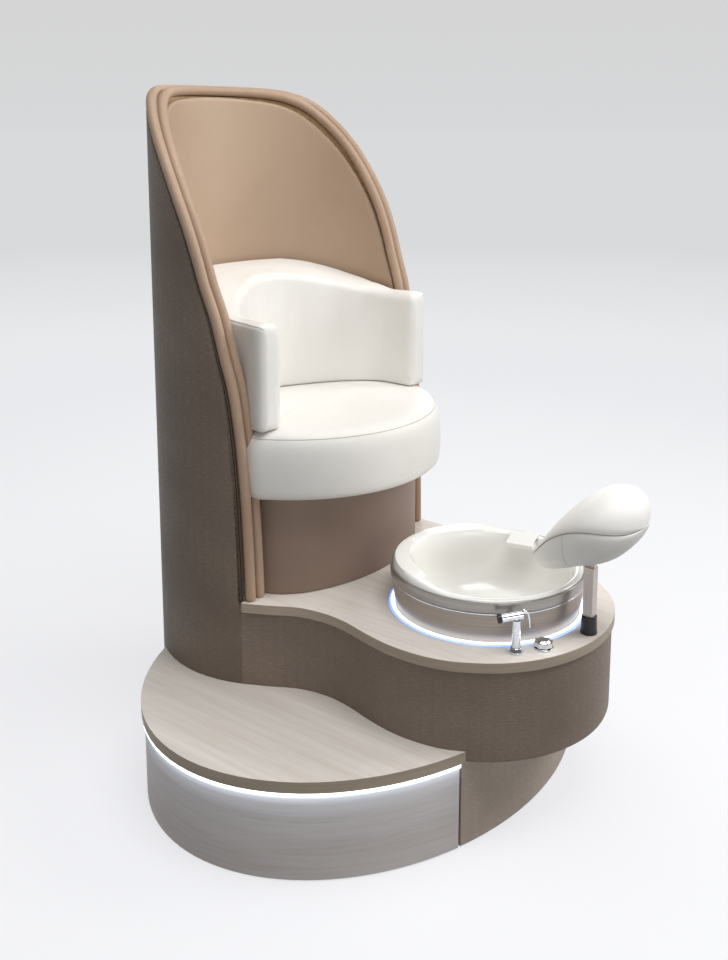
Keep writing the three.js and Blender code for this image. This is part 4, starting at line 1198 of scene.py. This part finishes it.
# dark tube along the pad's pulled-in seam: painted shade of the seam
closed_tube("footrest_pad_seam_shade_welt", resample(np.vstack([seam, seam[:1]]), 240)[:-1], 0.85, SEAM_D_PAINTED_SHADE, body="footrest_head", slot="white_leather")
# short upright seam in the side panel, near its middle
us = np.linspace(0.0008, 0.30, 22)
mid_seam = np.array([pad_point(math.radians(262), u, False, 1.003) for u in us])
tube("footrest_pad_side_seam", mid_seam, 0.55, SEAM, sides=8, body="footrest_head", slot="white_leather")

# ------------------------------------------------------------------ carried-over CAD nodes
OWN = {"vinyl": VINYL_HOOD_PAINTED_SHADE, "tan_leather": TAN, "roll_leather": ROLL, "white_leather": WHITE, "wood_veneer": WOOD, "riser_laminate": RISER_PAINTED_GLOW,
       "plywood": PLY, "led": LED_CORE, "steel": STEEL, "taupe_metal": HOUSING, "satin_band": BAND, "ceramic": CERAMIC, "chrome": CHROME,
       "black_plastic": BLACK, "aluminium": ALU, "grey_plastic": GREY, "rubber": RUBBER}
node_slot = {}
for m in frame["record"]["materials"]:
    for nd in m.get("nodes", []):
        node_slot[nd] = m["slot"]
for nd, ob in frame["nodes"].items():
    if ob.hide_render:
        continue
    s = node_slot.get(nd, "plywood")
    ob.data.materials.clear()
    ob.data.materials.append(OWN[s])
    bv = ob.modifiers.new("soft_edges", "BEVEL")
    bv.width = 0.0006
    bv.limit_method = "ANGLE"

# ------------------------------------------------------------------ floor, light, camera
WORLD_FAR = srgb(217, 218, 219)


def floor():
    rings = [0.0, 0.4, 0.8, 1.2, 1.7, 2.3, 3.2, 4.5, 7, 12, 25, 60, 150, 190]
    V, F = [(0, 0, 0)], []
    n = 64
    for r in rings[1:]:
        V += [(r * 1000 * math.cos(2 * math.pi * k / n), r * 1000 * math.sin(2 * math.pi * k / n), 0) for k in range(n)]
    for k in range(n):
        F.append((0, 1 + k, 1 + (k + 1) % n))
    for i in range(len(rings) - 2):
        for k in range(n):
            a, b = 1 + i * n + k, 1 + i * n + (k + 1) % n
            F.append((a, a + n, b + n, b))
    me = bpy.data.meshes.new("studio_floor")
    me.from_pydata([tuple(x * MM for x in v) for v in V], [], F)
    ob = bpy.data.objects.new("studio_floor", me)
    sc.collection.objects.link(ob)
    m = Mat("studio_floor_paint", rough=0.85, spec=0.2)
    g = m.noise(m.coords(), 2.0, 3.0)
    c = m.ramp(g, [(0.3, srgb(243, 243, 245)), (0.7, srgb(246, 246, 247))])
    m.set(c, m.map(g, 0.8, 0.9))
    # far away the floor runs into the backdrop's tone
    sep = m.n("ShaderNodeVectorMath", operation="LENGTH")
    m.link(m.coords(), sep.inputs[0])
    dist = m.math("MULTIPLY", sep.outputs["Value"], 1 / 12.0)
    k = m.ramp(dist, [(0.0, (0.72, 0.72, 0.72)), (0.16, (0.78, 0.78, 0.78)), (0.50, (1, 1, 1))], "EASE")
    tone = m.ramp(dist, [(0.0, srgb(249, 249, 253)), (0.16, srgb(247, 248, 251)), (0.34, srgb(238, 239, 242)), (0.60, srgb(228, 229, 231)), (1.0, WORLD_FAR)])
    em = m.n("ShaderNodeEmission")
    m.link(tone, em.inputs["Color"])
    em.inputs["Strength"].default_value = 1.0
    mx = m.n("ShaderNodeMixShader")
    out = m.t.nodes["Material Output"]
    m.link(k, mx.inputs[0])
    m.link(m.b.outputs[0], mx.inputs[1])
    m.link(em.outputs[0], mx.inputs[2])
    m.link(mx.outputs[0], out.inputs["Surface"])
    me.materials.append(m.m)
    ob.visible_diffuse = False
    return ob


floor()

world = bpy.data.worlds.new("studio")
sc.world = world
world.use_nodes = True
wt = world.node_tree
bg = wt.nodes["Background"]
tc = wt.nodes.new("ShaderNodeTexCoord")
sp = wt.nodes.new("ShaderNodeSeparateXYZ")
wt.links.new(tc.outputs["Generated"], sp.inputs[0])
rp = wt.nodes.new("ShaderNodeValToRGB")
els = rp.color_ramp.elements
while len(els) < 6:
    els.new(0.5)
# a pale band at the horizon, a dim room above and below it
for el, (p, c) in zip(els, [(0.0, (0.09, 0.088, 0.085, 1)), (0.40, (0.11, 0.108, 0.105, 1)), (0.465, WORLD_FAR), (0.56, srgb(212, 212, 213)),
                            (0.62, srgb(207, 208, 209)), (0.71, (0.15, 0.15, 0.152, 1))]):
    el.position = p
    el.color = c
hz = wt.nodes.new("ShaderNodeMath")
hz.operation = "MULTIPLY_ADD"
hz.inputs[1].default_value = 0.5
hz.inputs[2].default_value = 0.5
wt.links.new(sp.outputs["Z"], hz.inputs[0])
wt.links.new(hz.outputs[0], rp.inputs["Fac"])
wt.links.new(rp.outputs["Color"], bg.inputs["Color"])
bg.inputs["Strength"].default_value = 1.0


def area(name, loc, target, size, power, color=(1, 1, 1)):
    L = bpy.data.lights.new(name, "AREA")
    L.shape = "RECTANGLE"
    L.size, L.size_y = size
    L.energy = power
    L.color = color
    ob = bpy.data.objects.new(name, L)
    sc.collection.objects.link(ob)
    ob.location = loc
    ob.rotation_mode = "QUATERNION"
    ob.rotation_quaternion = (Vector(target) - Vector(loc)).to_track_quat("-Z", "Y")
    return ob


area("key_softbox", (2.7, -2.8, 3.0), (0, -0.3, 0.7), (2.0, 2.0), 97, (1.0, 0.985, 0.965))
area("front_overhead_softbox", (-0.5, -1.7, 4.2), (0, -0.5, 0.4), (2.4, 2.0), 82, (1.0, 1.0, 1.0))
area("low_front_softbox", (-1.4, -2.9, 0.95), (0, -0.9, 0.55), (1.2, 0.6), 7.5, (1.0, 1.0, 1.0))
area("top_softbox", (-0.1, 0.4, 4.4), (0, -0.1, 0.6), (2.2, 2.2), 34, (1.0, 1.0, 1.0))
area("rear_softbox", (3.2, 2.2, 2.2), (0, 0, 0.8), (2.0, 2.0), 26, (1.0, 1.0, 1.0))

cam_d = bpy.data.cameras.new("camera")
cam = bpy.data.objects.new("camera", cam_d)
sc.collection.objects.link(cam)
right = Vector((0.6142, -0.7892, 0.0)).normalized()
fwd = Vector((0.7766, 0.6044, -0.1780)).normalized()
upv = right.cross(fwd).normalized()
right = fwd.cross(upv).normalized()
M = Matrix((right, upv, -fwd)).transposed().to_4x4()
M.translation = Vector((-2.2287, -1.9593, 1.6305))
cam.matrix_world = M
cam_d.sensor_width = 36
cam_d.sensor_fit = "AUTO"
cam_d.lens = 41.70
cam_d.shift_y = -0.1642
cam_d.clip_start, cam_d.clip_end = 0.05, 200
sc.camera = cam

sc.view_settings.view_transform = "Standard"
sc.view_settings.look = "None"
sc.view_settings.exposure = 0.0
sc.view_settings.gamma = 1.0
